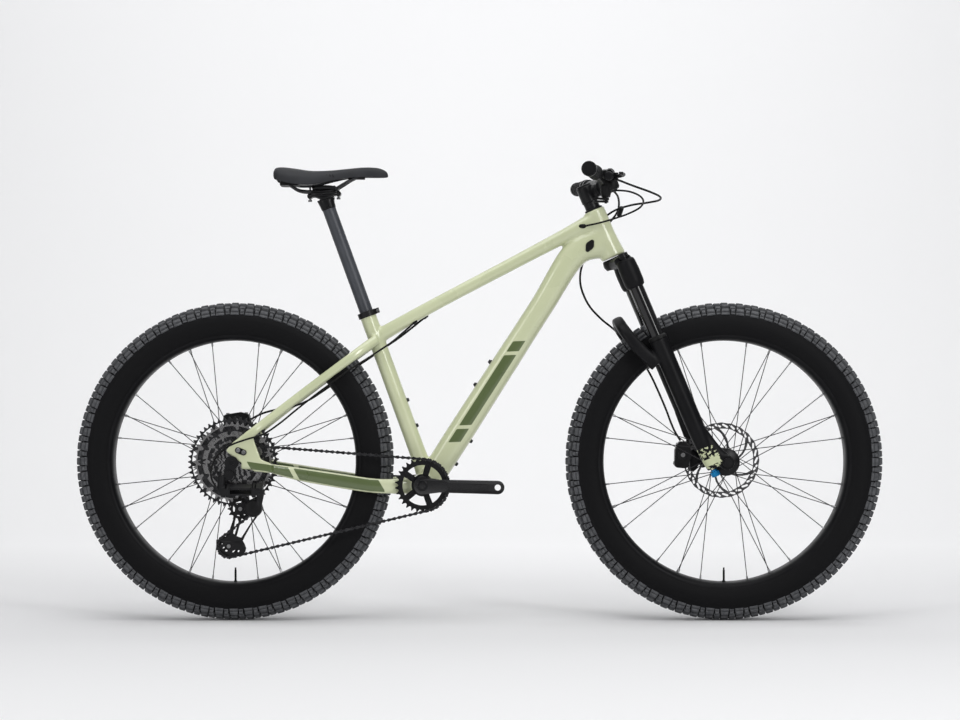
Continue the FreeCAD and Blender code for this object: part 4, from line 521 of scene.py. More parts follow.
def finish(name, dark, pale, rough, metallic, coat, broad, fine, relief, specular):
    maker = Maker(name, broad, fine, relief)
    tone = maker.span(maker.broad, *grain["middle"])
    return maker.feed(Base_Color=maker.mix(tone, dark, pale), Metallic=metallic, Coat_Weight=coat,
                      Coat_Roughness=0.08, Specular_IOR_Level=specular,
                      Roughness=maker.span(maker.broad, *grain["middle"], *rough),
                      Normal=maker.grain["Normal"])


def framePaintFinish(colours):
    maker = Maker("framePaint", *colours["grain"])
    tone = maker.span(maker.broad, *colours["tone"])
    body = maker.mix(tone, colours["sage"], colours["sagePale"])
    olive = maker.mix(tone, colours["olive"], colours["olivePale"])
    edge = maker.span(maker.attribute("panel"), *colours["edge"])
    return maker.feed(Base_Color=maker.mix(edge, body, olive), Coat_Weight=0.7, Coat_Roughness=0.06,
                      Roughness=maker.span(maker.broad, *grain["middle"], *colours["rough"]),
                      Normal=maker.grain["Normal"])


def tyreFinish(colours):
    maker = Maker("tyreRubber", *colours["grain"])
    wander = maker.math("MULTIPLY", maker.math("SUBTRACT", maker.broad, 0.5), colours["wander"] * unit)
    place = maker.math("ADD", maker.wheelRadius(), wander)
    # paler shoulder ring on the carcass, partly dust and partly painted light; over the crown it fades back
    # towards the wall colour as painted shade between the knobs
    band = maker.math("MULTIPLY", maker.span(place, *(edge * unit for edge in colours["band"])),
                      maker.span(place, *(edge * unit for edge in colours["gap"]), 1.0, colours["knobShadeShare"]))
    tone = maker.span(maker.fine, *colours["tone"])
    low = maker.mix(tone, colours["wall"], colours["wallPale"])
    high = maker.mix(tone, colours["tread"], colours["treadPale"])
    return maker.feed(Base_Color=maker.mix(band, low, high), Specular_IOR_Level=0.1,
                      Normal=maker.grain["Normal"],
                      Roughness=maker.span(maker.fine, *grain["middle"], *colours["rough"]))


def brushedFinish(name, dark, pale, rough, scale):
    maker = Maker(name, *grain["brushed"])
    lines = maker.math("ABSOLUTE", maker.math("SINE", maker.math("MULTIPLY", maker.wheelRadius(), scale)))
    tone = maker.math("ADD", *(maker.math("MULTIPLY", part, 0.5) for part in (lines, maker.fine)))
    return maker.feed(Base_Color=maker.mix(tone, dark, pale), Metallic=1.0, Normal=maker.grain["Normal"],
                      Roughness=maker.span(tone, *grain["brushedSpan"], *rough))


paintColours = {
    "sage": (0.56, 0.60, 0.38), "sagePale": (0.62, 0.655, 0.43), "olive": (0.082, 0.115, 0.037),
    "olivePale": (0.098, 0.135, 0.044), "grain": (9, 700, 0.03), "edge": (-0.02, 0.02), "rough": (0.24, 0.34),
    "tone": (0.25, 0.75)}
# tread colours: the shoulder ring holds dust and painted light, the gap radii carry painted shade between the
# knobs
tyreColours = {
    "wall": (0.004, 0.004, 0.0045), "wallPale": (0.007, 0.007, 0.008), "tread": (0.007, 0.007, 0.008),
    "treadPale": (0.014, 0.0145, 0.016), "grain": (60, 1600, 0.12), "wander": 6, "band": (339, 350),
    "gap": (353, 357), "knobShadeShare": 0.12, "rough": (0.5, 0.68), "tone": (0.35, 0.65)}
framePaint = framePaintFinish(paintColours)
tyreRubber = tyreFinish(tyreColours)
brushed = {
    "rotorSteel": ((0.045, 0.045, 0.048), (0.15, 0.15, 0.155), (0.24, 0.4), 5200),
    "cogSteel": ((0.10, 0.098, 0.10), (0.46, 0.455, 0.46), (0.16, 0.3), 3900)}
rotorSteel, cogSteel = (brushedFinish(name, *values) for name, values in brushed.items())
finishes = {
    "satinBlack": ((0.006, 0.006, 0.007), (0.011, 0.011, 0.012), (0.3, 0.44), 0.0, 0.05, 30, 900, 0.05, 0.2),
    "forkBlack": ((0.004, 0.004, 0.005), (0.007, 0.007, 0.008), (0.38, 0.5), 0.0, 0.0, 14, 1300, 0.06, 0.14),
    "glossBlack": ((0.003, 0.003, 0.004), (0.005, 0.005, 0.006), (0.06, 0.12), 0.0, 0.3, 20, 500, 0.01, 0.4),
    "crankBlack": ((0.004, 0.004, 0.005), (0.007, 0.007, 0.008), (0.16, 0.24), 0.0, 0.25, 20, 700, 0.02, 0.5),
    "rimBlack": ((0.004, 0.004, 0.005), (0.008, 0.008, 0.009), (0.36, 0.48), 0.0, 0.0, 16, 900, 0.03, 0.12),
    "anodBlack": ((0.007, 0.007, 0.008), (0.013, 0.013, 0.014), (0.26, 0.38), 0.2, 0.0, 40, 1500, 0.05, 0.22),
    "darkSteel": ((0.022, 0.022, 0.024), (0.055, 0.055, 0.058), (0.28, 0.42), 0.85, 0.0, 90, 1500, 0.05, 0.5),
    "spokeSteel": ((0.012, 0.012, 0.014), (0.024, 0.024, 0.026), (0.3, 0.4), 0.5, 0.0, 60, 900, 0.02, 0.4),
    "plasticBlack": (
        (0.006, 0.006, 0.006), (0.011, 0.011, 0.012), (0.42, 0.56), 0.0, 0.0, 50, 2200, 0.12, 0.16),
    "hoseBlack": ((0.005, 0.005, 0.005), (0.009, 0.009, 0.009), (0.38, 0.5), 0.0, 0.0, 60, 2500, 0.08, 0.15),
    "gripRubber": ((0.008, 0.008, 0.008), (0.014, 0.014, 0.015), (0.55, 0.7), 0.0, 0.0, 70, 2200, 0.2, 0.14),
    "saddleCover": ((0.020, 0.021, 0.024), (0.031, 0.032, 0.036), (0.5, 0.64), 0.0, 0.0, 22, 2600, 0.16, 0.2),
    "postBlack": ((0.040, 0.044, 0.053), (0.055, 0.059, 0.070), (0.36, 0.46), 0.1, 0.0, 25, 1400, 0.05, 0.5),
    "blueAlloy": ((0.004, 0.16, 0.40), (0.008, 0.24, 0.52), (0.22, 0.34), 0.6, 0.0, 60, 900, 0.03, 0.5),
    "boltSteel": ((0.20, 0.20, 0.205), (0.34, 0.34, 0.345), (0.26, 0.4), 1.0, 0.0, 120, 900, 0.04, 0.5),
    # knob rubber paler than the carcass rubber: partly dust, partly painted light on the lit knob tops
    "treadRubber": (
        (0.062, 0.064, 0.070), (0.120, 0.123, 0.130), (0.6, 0.75), 0.0, 0.0, 120, 1800, 0.15, 0.25)}
(satinBlack, forkBlack, glossBlack, crankBlack, rimBlack, anodBlack, darkSteel, spokeSteel, plasticBlack,
 hoseBlack, gripRubber, saddleCover, postBlack, blueAlloy, boltSteel, treadRubber) = (
    finish(name, *values) for name, values in finishes.items())
print("stage: materials ready")

# Camera at the photo's place: 960 px across 2265.6 mm at the bicycle's middle plane
view = {"distance": 6.5, "across": 2.2656, "sensor": 36.0, "clip": 60, "x": 0.0008, "z": 0.6121}
camera = linked("photoCamera", bpy.data.cameras.new("photoCamera"))
camera.data.sensor_width = view["sensor"]
camera.data.sensor_fit = "HORIZONTAL"
camera.data.lens = view["sensor"] * view["distance"] / view["across"]
camera.data.clip_end = view["clip"]
camera.location = (view["x"], -view["distance"], view["z"])
camera.rotation_euler = (math.radians(90), 0, 0)
bpy.context.scene.camera = camera
bpy.context.scene.view_settings.view_transform = "Standard"

# Floor and backdrop in one swept sheet, with soft lights
room = {
    "half": 9.0, "back": 5.5, "front": -9.0, "bend": 2.5, "bendSteps": 12, "height": 9.0,
    "tone": (0.93, 0.932, 0.942), "toneStep": 0.01, "paintedShadowTone": (0.77, 0.772, 0.785), "paintedShadowReach": (0.4, 2.6),
    "grain": (0.7, 40, 0.0), "cameraGlow": 0.66, "glow": 0.2}
lights = {
    "topSoft": ((0.2, -0.8, 4.6), (0, 0, 0.4), (5.0, 4.0), 150),
    "frontSoft": ((3.0, -5.2, 3.0), (0.1, 0, 0.6), (1.8, 2.6), 120),
    "fillSoft": ((-4.2, -4.6, 2.2), (-0.2, 0, 0.6), (1.6, 2.6), 60),
    "backSoft": ((0, 2.6, 4.4), (0, 5.5, 0.8), (6.0, 2.0), 78)}


def makeRoom():
    profile = [(room["front"], 0.0)]
    for i in range(room["bendSteps"] + 1):
        t = math.pi / 2 * i / room["bendSteps"]
        profile.append((room["back"] - room["bend"] + room["bend"] * math.sin(t),
                        room["bend"] * (1 - math.cos(t))))
    profile.append((room["back"], room["height"]))
    verts = [(side * room["half"], y, z) for y, z in profile for side in (-1, 1)]
    faces = [(2 * i, 2 * i + 1, 2 * i + 3, 2 * i + 2) for i in range(len(profile) - 1)]
    mesh = bpy.data.meshes.new("studioSheet")
    mesh.from_pydata(verts, [], faces)
    mesh.shade_smooth()
    maker = Maker("studioSheet", *room["grain"])
    # painted shadow: the floor is darker near the bike's plane and turns pale further in front and behind it
    far = maker.span(maker.math("ABSOLUTE", maker.place()["Y"]), *room["paintedShadowReach"])
    pale = maker.mix(maker.span(maker.broad, *grain["middle"]), room["tone"],
                     tuple(c + room["toneStep"] for c in room["tone"]))
    maker.feed(Base_Color=maker.mix(far, room["paintedShadowTone"], pale), Roughness=0.9, Specular_IOR_Level=0.1)
    maker.clearBehind()
    mesh.materials.append(maker.material)
    linked("studioSheet", mesh)


def addLight(name, place, target, size, energy):
    lamp = bpy.data.lights.new(name, "AREA")
    lamp.shape = "RECTANGLE"
    lamp.size, lamp.size_y = size
    lamp.energy = energy
    obj = linked(name, lamp)
    obj.location = place
    obj.rotation_euler = (Vector(target) - Vector(place)).to_track_quat("-Z", "Y").to_euler()


makeRoom()
for name, values in lights.items():
    addLight(name, *values)
world = bpy.data.worlds.new("studioWorld")
bpy.context.scene.world = world
world.use_nodes = True
world.node_tree.nodes["Background"].inputs["Color"].default_value = (1, 1, 1, 1)
lightPath = world.node_tree.nodes.new("ShaderNodeLightPath")
strength = world.node_tree.nodes.new("ShaderNodeMath")
strength.operation = "MULTIPLY_ADD"
strength.inputs[1].default_value, strength.inputs[2].default_value = room["cameraGlow"], room["glow"]
world.node_tree.links.new(lightPath.outputs["Is Camera Ray"], strength.inputs[0])
world.node_tree.links.new(strength.outputs[0], world.node_tree.nodes["Background"].inputs["Strength"])
print("stage: camera, room and lights ready")

# Frame skin: lofted tubes grown together into one smooth shell
tubes = {
    "topShares": (0, .25, .6, .86, 1), "topWide": (.74, .82, .9, 1, 1.06),
    "topHigh": (.92, .78, .8, .9, 1.12), "topHalf": (22, 19), "topDrop": (5, 0, 0, 0, 0), "topStart": 371,
    "topEnd": 22, "downShares": (.03, .22, .5, .78), "downWide": (1.2, 1, .95, .93, .93, .9),
    "downHigh": (.97, 1, .95, .91, 1.02, 1.24), "downHalf": (29, 31), "downAngle": 57.3, "downLength": 640,
    "downShift": 10, "downEnd": 78, "downBehind": 82, "chainAlong": (.03, .17, .28, .44, .66, .82, .95),
    "chainSideShare": (.43, .58, .63, .665, .78, .93, 1.0),
    "chainRise": (-.04, -.06, -.01, .19, .5, .785, .93), "chainWide": (1.05, .9, .84, .84, .76, .68, .42),
    "chainHigh": (1.1, .97, .95, .95, .84, .56, .6), "chainHalf": (9.5, 18), "chainPower": 2.8,
    "stayLength": 442.98, "stayRise": 53.5, "staySide": 102.9, "seatStart": 362,
    "seatEnd": Vector((1, 0, 33)), "seatAlong": (0, .12, .25, .52, .77, .86, 1),
    "seatSide": (.2, .5, .61, .69, .89, 1, 1), "seatBow": (0, .05, .1, .16, .12, .06, 0),
    "seatWide": (1.4, 1.05, .95, .9, .8, .6, .5), "seatHigh": (1.15, 1.05, 1, .97, .95, 1, 1),
    "seatHalf": (8, 10.8), "bow": 16, "seatTube": ((-6, 25), (40, 21), (110, 19.4), (300, 19.4), (429, 19.4)),
    "headTube": [(0, 24), (1.5, 25.4), (65, 25.4), (96, 27.5), (118, 30.4), (120, 29)], "bracketHalf": 60,
    "bracketRadius": 25.5, "tubeSteps": 14, "tubeSides": 56, "voxel": 2.6, "smooth": 7,
    "relax": 0.5}


def chainstayStations(sign):
    stations = []
    for along, side, rise, wide, high in zip(tubes["chainAlong"], tubes["chainSideShare"], tubes["chainRise"],
                                             tubes["chainWide"], tubes["chainHigh"]):
        point = bracketCentre + Vector((-tubes["stayLength"] * along, sign * tubes["staySide"] * side,
                                        tubes["stayRise"] * rise))
        stations.append((point, tubes["chainHalf"][0] * wide, tubes["chainHalf"][1] * high))
    return stations


downTilt = math.radians(tubes["downAngle"])
downWay = Vector((math.cos(downTilt), 0, math.sin(downTilt)))
downAbove = Vector((-math.sin(downTilt), 0, math.cos(downTilt)))


def seatstayStations(sign):
    start, end = seat(tubes["seatStart"]), rearCentre + tubes["seatEnd"]
    along = end - start
    bowWay = Vector((along.z, 0, -along.x)).normalized()
    stations = []
    for share, side, bow, wide, high in zip(tubes["seatAlong"], tubes["seatSide"], tubes["seatBow"],
                                            tubes["seatWide"], tubes["seatHigh"]):
        point = start + along * share + bowWay * tubes["bow"] * bow + left * sign * tubes["staySide"] * side
        stations.append((point, tubes["seatHalf"][0] * wide, tubes["seatHalf"][1] * high))
    return stations


def downStations():
    foot = bracketCentre + forward * tubes["downShift"]
    points = [foot + downWay * tubes["downLength"] * share for share in tubes["downShares"]]
    points += [steer(tubes["downEnd"], -tubes["downBehind"]), steer(tubes["downEnd"])]
    return [(p, tubes["downHalf"][0] * w, tubes["downHalf"][1] * h)
            for p, w, h in zip(points, tubes["downWide"], tubes["downHigh"])]


def topStations():
    start, end = seat(tubes["topStart"]), steer(tubes["topEnd"])
    return [(start.lerp(end, share) - up * drop, tubes["topHalf"][0] * w, tubes["topHalf"][1] * h)
            for share, drop, w, h in zip(tubes["topShares"], tubes["topDrop"], tubes["topWide"],
                                         tubes["topHigh"])]


def frameTube(stations, power=2.6):
    return tubeShell(stations, power, tubes["tubeSteps"], tubes["tubeSides"])


def grownTogether(name, shells, material, voxel, rounds):
    obj = makePiece(name, shells, material)
    grow = obj.modifiers.new("grow", "REMESH")
    grow.mode = "VOXEL"
    grow.voxel_size = voxel * unit
    relax = obj.modifiers.new("relax", "SMOOTH")
    relax.factor = tubes["relax"]
    relax.iterations = rounds
    baked(obj)
    obj.data.materials.clear()
    obj.data.materials.append(material)
    obj.data.shade_smooth()
    return obj


dropout = {
    "faces": (98.9, 106.9),
    "outline": [
        (-13, 27), (-8, 36), (24, 60), (42, 68), (50, 58), (68, 8), (92, -2), (96, -24), (54, -21), (8, 9)],
    "caliperArms": ([(0, 0, 15), (-2, 76, 14), (14, 84, 10)], [(0, 0, 15), (22, 10, 16)])}


def dropoutShells(sign):
    near, far = sorted(sign * face for face in dropout["faces"])
    loops = [dropout["outline"]]
    if sign > 0:
        loops += [hullPoints(arm, 20) for arm in dropout["caliperArms"]]
    return [plateShell(loop, [], near, far, wheelPlace(rearCentre)) for loop in loops]


def stepValue(values, places, at):
    for i in range(len(places) - 1):
        if at <= places[i + 1]:
            t = (at - places[i]) / (places[i + 1] - places[i])
            return values[i] + (values[i + 1] - values[i]) * max(min(t, 1), 0)
    return values[-1]


decals = {
    "stayStart": -536, "stayEnd": -228, "stripe": -433, "stripeHalf": 6, "fill": 0.8, "stayLean": 0.62,
    "stayShares": (0.2, 1.02), "staySide": 44, "stayTop": 470, "panelStart": 118, "panelEnd": 400,
    "panelHalf": 12, "panelSplits": (160, 366), "splitHalf": 5, "panelLean": 0.7, "panelSide": 14,
    "panelReach": 30, "soft": 20}


def panelValue(p):
    x, y, z = p
    best, soft = -1.0, decals["soft"]
    share = (bracketCentre.x - x) / tubes["stayLength"]
    first, last = decals["stayShares"]
    if abs(y) > decals["staySide"] and first < share < last and z < decals["stayTop"]:
        rise = stepValue(tubes["chainRise"], tubes["chainAlong"], share) * tubes["stayRise"] + bracketCentre.z
        half = stepValue(tubes["chainHigh"], tubes["chainAlong"], share) * tubes["chainHalf"][1]
        lean = x + (z - rise) * decals["stayLean"]
        best = max(best, min(decals["fill"] - abs(z - rise) / half, (lean - decals["stayStart"]) / soft,
                             (decals["stayEnd"] - lean) / soft,
                             (abs(lean - decals["stripe"]) - decals["stripeHalf"]) / soft))
    rel = Vector((x - bracketCentre.x - tubes["downShift"], 0, z - bracketCentre.z))
    along, above = rel.dot(downWay), rel.dot(downAbove)
    if abs(y) > decals["panelSide"] and abs(above) < decals["panelReach"]:
        lean = along + above * decals["panelLean"]
        edges = [decals["panelHalf"] - abs(above), lean - decals["panelStart"], decals["panelEnd"] - lean]
        edges += [abs(lean - split) - decals["splitHalf"] for split in decals["panelSplits"]]
        best = max(best, min(edges) / soft)
    return best


def markPanels(obj, value):
    layer = obj.data.attributes.new("panel", "FLOAT", "POINT")
    layer.data.foreach_set("value", [value(v.co / unit) for v in obj.data.vertices])


hanger = {
    "bolts": ((15, 29), (28, 24)), "pad": 7, "face": 106.9, "padFaces": (-1.4, 1), "boltSeat": 1.2,
    "bolt": [(0, 5), (1.6, 5), (2.2, 4.3), (2.2, 2.6), (1, 2.4), (1, 0.3)]}


def makeFrame():
    side = left * tubes["bracketHalf"]
    shells = [turnedShell(headTop, steerDown, tubes["headTube"], 48), frameTube(topStations()),
              frameTube(downStations()), tubeShell([(seat(at), r, r) for at, r in tubes["seatTube"]], 2.0),
              rodShell(bracketCentre - side, bracketCentre + side, tubes["bracketRadius"])]
    for sign in (-1, 1):
        shells += [frameTube(chainstayStations(sign), tubes["chainPower"]), frameTube(seatstayStations(sign))]
        shells += dropoutShells(sign)
    skin = grownTogether("frameSkin", shells, framePaint, tubes["voxel"], tubes["smooth"])
    markPanels(skin, panelValue)
    settle(skin, "frame", "frame_paint", "head_tube", "top_tube", "down_tube", "seat_tube", "chainstay_right",
           "chainstay_left", "seatstay_right", "seatstay_left")
    near, far = (face - hanger["face"] for face in hanger["padFaces"])
    pad = plateShell(hullPoints([(u, v, hanger["pad"]) for u, v in hanger["bolts"]], 20), [], near, far,
                     wheelPlace(rearCentre))
    settle(makePiece("hangerPad", [pad], anodBlack, 0.4), "frame", "black_alloy")
    head = -hanger["face"] - hanger["boltSeat"]
    bolts = [turnedShell(rearCentre + Vector((u, head, v)), -left, hanger["bolt"], 24)
             for u, v in hanger["bolts"]]
    settle(makePiece("hangerBolts", bolts, boltSteel, 0.2), "frame", "dark_steel")


makeFrame()
print("stage: frame ready")

# Wheels
wheel = {
    "section": 321, "half": 46.2, "reach": 126, "steps": 60, "beads": ((0.9, 74, 1.6), (0.7, 112, 2.0)),
    "knobCount": 64, "knobRings": ((-0.3, 1.08), (0.78, 0.96), (1.0, 0.78)), "knobCrease": 30}
knobRows = [
    (6.0, 0.0, 8.6, 4.8, 6.6), (17, 18.2, 7.4, 4.4, 6.6), (27, 1.0, 8.2, 4.2, 6.6),
    (36.5, 18.6, 6.6, 3.4, 6.4), (46, 1.0, 9.0, 4.4, 6.4), (46.5, 18.8, 4.6, 3.6, 5.6),
    (56, 1.0, 9.4, 2.6, 3.4), (55, 18.8, 4.8, 1.8, 2.4)]


def knobShell(angle, offset, halfLong, halfWide, height):
    a = math.radians(angle)
    out, across = Vector((0, math.sin(a), math.cos(a))), Vector((0, math.cos(a), -math.sin(a)))
    base = Vector((0, wheel["half"] * math.sin(a), wheel["section"] + wheel["half"] * math.cos(a)))
    turn = Matrix.Rotation(offset / base.z, 3, "Y")
    rings = []
    for share, scale in wheel["knobRings"]:
        middle = base + out * height * share
        rings.append([turn @ (middle + forward * u * halfLong * scale + across * v * halfWide * scale)
                      for u, v in ((-1, -1), (1, -1), (1, 1), (-1, 1))])
    return loftShell(rings)


def makeTyre(name, centre, body):
    profile = []
    for i in range(wheel["steps"] + 1):
        degrees = wheel["reach"] * (2 * i / wheel["steps"] - 1)
        radius = wheel["half"] + sum(rise * math.exp(-((abs(degrees) - at) / wide) ** 2)
                                     for rise, at, wide in wheel["beads"])
        a = math.radians(degrees)
        profile.append((radius * math.sin(a), wheel["section"] + radius * math.cos(a)))
    carcass = makePiece(name + "Carcass", [hoopShell(centre, left, profile, 160)], tyreRubber, 0, 60)
    settle(carcass, body, "tyre_rubber", name)
    rows = []
    for number, (angle, *sizes) in enumerate(knobRows):
        shells = [knobShell(angle * sign, *sizes) for sign in (-1, 1)]
        rows.append(ringPiece(name + "Row" + str(number), shells, wheel["knobCount"], left, centre,
                              treadRubber, 0, wheel["knobCrease"]))
    knobs = mergePieces(name + "Knobs", rows)
    shaded(knobs, wheel["knobCrease"])
    settle(knobs, body, "tyre_rubber", name)


rim = {
    "side": [(40, 301), (38.6, 302.6), (36, 302), (34, 295)], "valveSeat": 285,
    "under": [(39.6, 294), (36, 289.4), (28, 285.6), (14, 284)],
    "valve": [(0, 4.2), (3, 4.2), (3.5, 2.6), (28, 2.6), (28.5, 2), (34, 2)]}


def makeRim(name, centre, body):
    side, under = rim["side"], rim["under"]
    profile = ([(-u, v) for u, v in side] + side[::-1] + under + [(-u, v) for u, v in reversed(under)])
    shells = [hoopShell(centre, left, profile, 144),
              turnedShell(centre - up * rim["valveSeat"], up, rim["valve"], 16)]
    settle(makePiece(name + "Hoop", shells, rimBlack, 0, 50), body, "carbon_rim", name)


def wheelPoint(radius, degrees, side):
    t = math.radians(degrees)
    return Vector((radius * math.cos(t), side, radius * math.sin(t)))


spoke = {
    "radius": 1.0, "rimSeat": 287, "cross": 62.1, "headOffset": 2.6, "rimOffset": 9, "hubInset": 4,
    "groups": 8, "starts": (0.0, 11.25), "step": 22.5, "lead": 5.6, "head": (-3.2, 0.8), "headRadius": 1.9,
    "nippleLength": 12, "nipple": [(0, 1.5), (1, 2.1), (9, 2.2), (12, 2.9)]}


def makeSpokes(name, centre, body, flanges, flangeRadius):
    wires, nipples = [], []
    for outward, flange, start in zip((-1, 1), flanges, spoke["starts"]):
        for number, lead in enumerate((1, -1)):
            hubDegrees = start + spoke["step"] * number
            rimDegrees = hubDegrees + spoke["lead"] + spoke["cross"] * lead
            head = left * outward * lead
            hub = (wheelPoint(flangeRadius - spoke["hubInset"], hubDegrees, flange)
                   + head * spoke["headOffset"])
            rimEnd = wheelPoint(spoke["rimSeat"], rimDegrees, outward * spoke["rimOffset"])
            way = (rimEnd - hub).normalized()
            wires.append(rodShell(hub, rimEnd, spoke["radius"], sides=8))
            near, far = (hub + head * at for at in spoke["head"])
            wires.append(rodShell(near, far, spoke["headRadius"], sides=8))
            nipples.append(turnedShell(rimEnd - way * spoke["nippleLength"], way, spoke["nipple"], 8))
    for ending, shells, material in (("Wires", wires, spokeSteel), ("Nipples", nipples, boltSteel)):
        settle(ringPiece(name + ending, shells, spoke["groups"], left, centre, material), body, "steel", name)


rotor = {
    "outer": (90, -0.014, 12, 192), "inner": (75, 0.018, 6, 96), "half": 0.9, "slots": 30, "slotRing": 82.4,
    "slotTurn": math.pi / 2 - 0.42, "slot": (5.6, 2.3, 5), "arms": 6, "armSteps": 6, "armStart": 25,
    "armReach": 53, "armSweep": 40, "armBend": 1.2, "armHalf": 3.6, "armWaist": 1.2, "armThick": 0.88,
    "carrier": 30, "bore": 13, "carrierHalf": 1.4}


def waveCircle(radius, wave, waves, sides):
    points = []
    for t in (math.tau * i / sides for i in range(sides)):
        r = radius * (1 + wave * math.sin(t * waves) ** 2)
        points.append((r * math.cos(t), r * math.sin(t)))
    return points


def rotorArm(start):
    spine, halves = [], []
    for share in (s / rotor["armSteps"] for s in range(rotor["armSteps"] + 1)):
        r = rotor["armStart"] + rotor["armReach"] * share
        t = math.radians(start + rotor["armSweep"] * share ** rotor["armBend"])
        spine.append(Vector((r * math.cos(t), r * math.sin(t))))
        halves.append(rotor["armHalf"] - rotor["armWaist"] * math.sin(share * math.pi))
    near, far = [], []
    for s, (p, half) in enumerate(zip(spine, halves)):
        way = wayAt(spine, s)
        side = Vector((-way.y, way.x)) * half
        near.append(tuple(p + side))
        far.append(tuple(p - side))
    return near + far[::-1]


def makeRotor(name, centre, side, body):
    holes = [waveCircle(*rotor["inner"])]
    for t in (math.tau * i / rotor["slots"] for i in range(rotor["slots"])):
        holes.append(slotPoints(rotor["slotRing"] * math.cos(t), rotor["slotRing"] * math.sin(t),
                                t + rotor["slotTurn"], *rotor["slot"]))
    place = wheelPlace(centre)
    shells = [plateShell(waveCircle(*rotor["outer"]), holes, side - rotor["half"], side + rotor["half"],
                         place)]
    for i in range(rotor["arms"]):
        shells.append(plateShell(rotorArm(360 / rotor["arms"] * i), [], side - rotor["armThick"],
                                 side + rotor["armThick"], place))
    settle(makePiece(name + "Disc", shells, rotorSteel), body, "steel", name)
    hub = [plateShell(circlePoints(0, 0, rotor["carrier"], 48), [circlePoints(0, 0, rotor["bore"], 32)],
                      side - rotor["carrierHalf"], side + rotor["carrierHalf"], place)]
    settle(makePiece(name + "Carrier", hub, anodBlack, 0.4), body, "black_alloy", name)


def makeHub(name, centre, body, profile):
    base = centre + left * profile[0][0]
    shell = turnedShell(base, left, [(y - profile[0][0], r) for y, r in profile], 64)
    settle(makePiece(name + "Shell", [shell], anodBlack, 0.5), body, "black_alloy", name)


frontHub = [
    (-75, 10), (-75, 13), (-66, 13.4), (-63.5, 20), (-62, 30), (-60, 32.5), (-50, 32.5), (-46, 28),
    (-40, 25.5), (-37.4, 29), (-30.6, 29), (-28, 19), (0, 17), (28, 19), (30.6, 29), (37.4, 29), (40, 22),
    (56, 22), (58, 13.4), (75, 13), (75, 10)]
rearHub = [
    (-52, 15), (-52, 20), (-48, 30), (-46.6, 33), (-39.4, 33), (-36, 23), (0, 21), (54, 23), (58.6, 33),
    (65.4, 33), (68, 25), (80, 25), (82, 14.4), (98.4, 14), (98.4, 10)]
for wheelName, centre, wheelBody, hubProfile, flanges, flangeRadius, rotorSide in (
        ("front", frontCentre, "front_wheel", frontHub, (-34, 34), 29, 60),
        ("rear", rearCentre, "rear_wheel", rearHub, (-43, 62), 33, 83.5)):
    makeTyre(wheelName + "_tyre", centre, wheelBody)
    makeRim(wheelName + "_rim", centre, wheelBody)
    makeSpokes(wheelName + "_spokes", centre, wheelBody, flanges, flangeRadius)
    makeRotor(wheelName + "_rotor", centre, rotorSide, wheelBody)
    makeHub(wheelName + "_hub", centre, wheelBody, hubProfile)
print("stage: wheels ready")

# Fork
fork = {
    "ahead": 16, "side": 84, "stanchion": 17, "stanchionStart": 150, "stanchionLength": 318, "voxel": 2.2,
    "crown": [(0, 135, 4, 29, 14), (34, 136, 8, 25, 13), (60, 137, 10, 22, 12), (84, 136, 12, 20, 10)],
    "crownHubStart": 122, "crownHub": [(0, 29), (4, 30), (14, 31), (24, 27)], "sleeveStart": 137,
    "sleeve": [(0, 18), (2, 21), (8, 22.6), (30, 24), (58, 23.6), (68, 21.5), (70, 18)], "legStart": 338,
    "leg": [(0, 21.6), (4, 22), (60, 21.4), (230, 21.0), (262, 20), (300, 17.6), (322, 14.5), (328, 13)],
    "bendStart": 560, "bendMiddle": 600, "bendHalves": ((14, 18), (13, 19), (12, 17)), "footSide": 86,
    "footHalf": 13, "footRadius": 17.5,
    "caliperArms": (
        [(steer(520, 8, 82), 8, 14), (Vector((500, 82, 430)), 7, 12)],
        [(steer(590, 6, 82), 8, 13), (Vector((512, 82, 362)), 7, 11), (Vector((496.9, 82, 356.6)), 7, 9)]),
    "arch": [
        (0, 264, -50, 10, 13), (30, 268, -50, 10, 13), (66, 290, -48, 11, 14), (82, 340, -34, 12, 15),
        (84, 392, -10, 14, 17)],
    "archSteps": 5, "power": 3, "sealStart": 329, "seal": [(0, 18), (1.5, 20.6), (4, 22.4), (9.5, 22.8)],
    "bandStart": 640, "bandEnd": 656, "patchStart": 612, "bandAhead": 40, "bandSide": -60, "patchLevel": -0.4,
    "soft": 20, "grain": (14, 1300, 0.06), "blots": (120, 500, 0.0), "blotEdge": (0.53, 0.56),
    "patchEdge": (-0.62, -0.58), "rough": (0.36, 0.46),
    "black": ((0.004, 0.004, 0.005), (0.007, 0.007, 0.008))}


def forkFinish():
    maker = Maker("forkPaint", *fork["grain"])
    tone = maker.span(maker.broad, *grain["middle"])
    black = maker.mix(tone, *fork["black"])
    pale = maker.mix(tone, paintColours["sage"], paintColours["sagePale"])
    blots = maker.addGrain(*fork["blots"])
    patch = maker.mix(maker.span(blots["Broad"], *fork["blotEdge"]), black, pale)
    edge = maker.span(maker.attribute("panel"), *paintColours["edge"])
    low = maker.span(maker.attribute("panel"), *fork["patchEdge"])
    return maker.feed(Base_Color=maker.mix(edge, maker.mix(low, black, patch), pale), Specular_IOR_Level=0.14,
                      Roughness=maker.span(maker.broad, *grain["middle"], *fork["rough"]),
                      Normal=maker.grain["Normal"])


forkPaint = forkFinish()


def onLegs(start, profile, sides=48):
    return [turnedShell(steer(start, fork["ahead"], sign * fork["side"]), steerDown, profile, sides)
            for sign in (-1, 1)]


def legBand(p):
    rel = Vector(p) - headTop
    along = rel.dot(steerDown)
    if rel.dot(steerAhead) > fork["bandAhead"] or p[1] > fork["bandSide"]:
        return -1.0
    sage, patch = (min(along - fork[start], fork["bandEnd"] - along) / fork["soft"]
                   for start in ("bandStart", "patchStart"))
    return max(sage, fork["patchLevel"] if patch > 0 else -1.0)


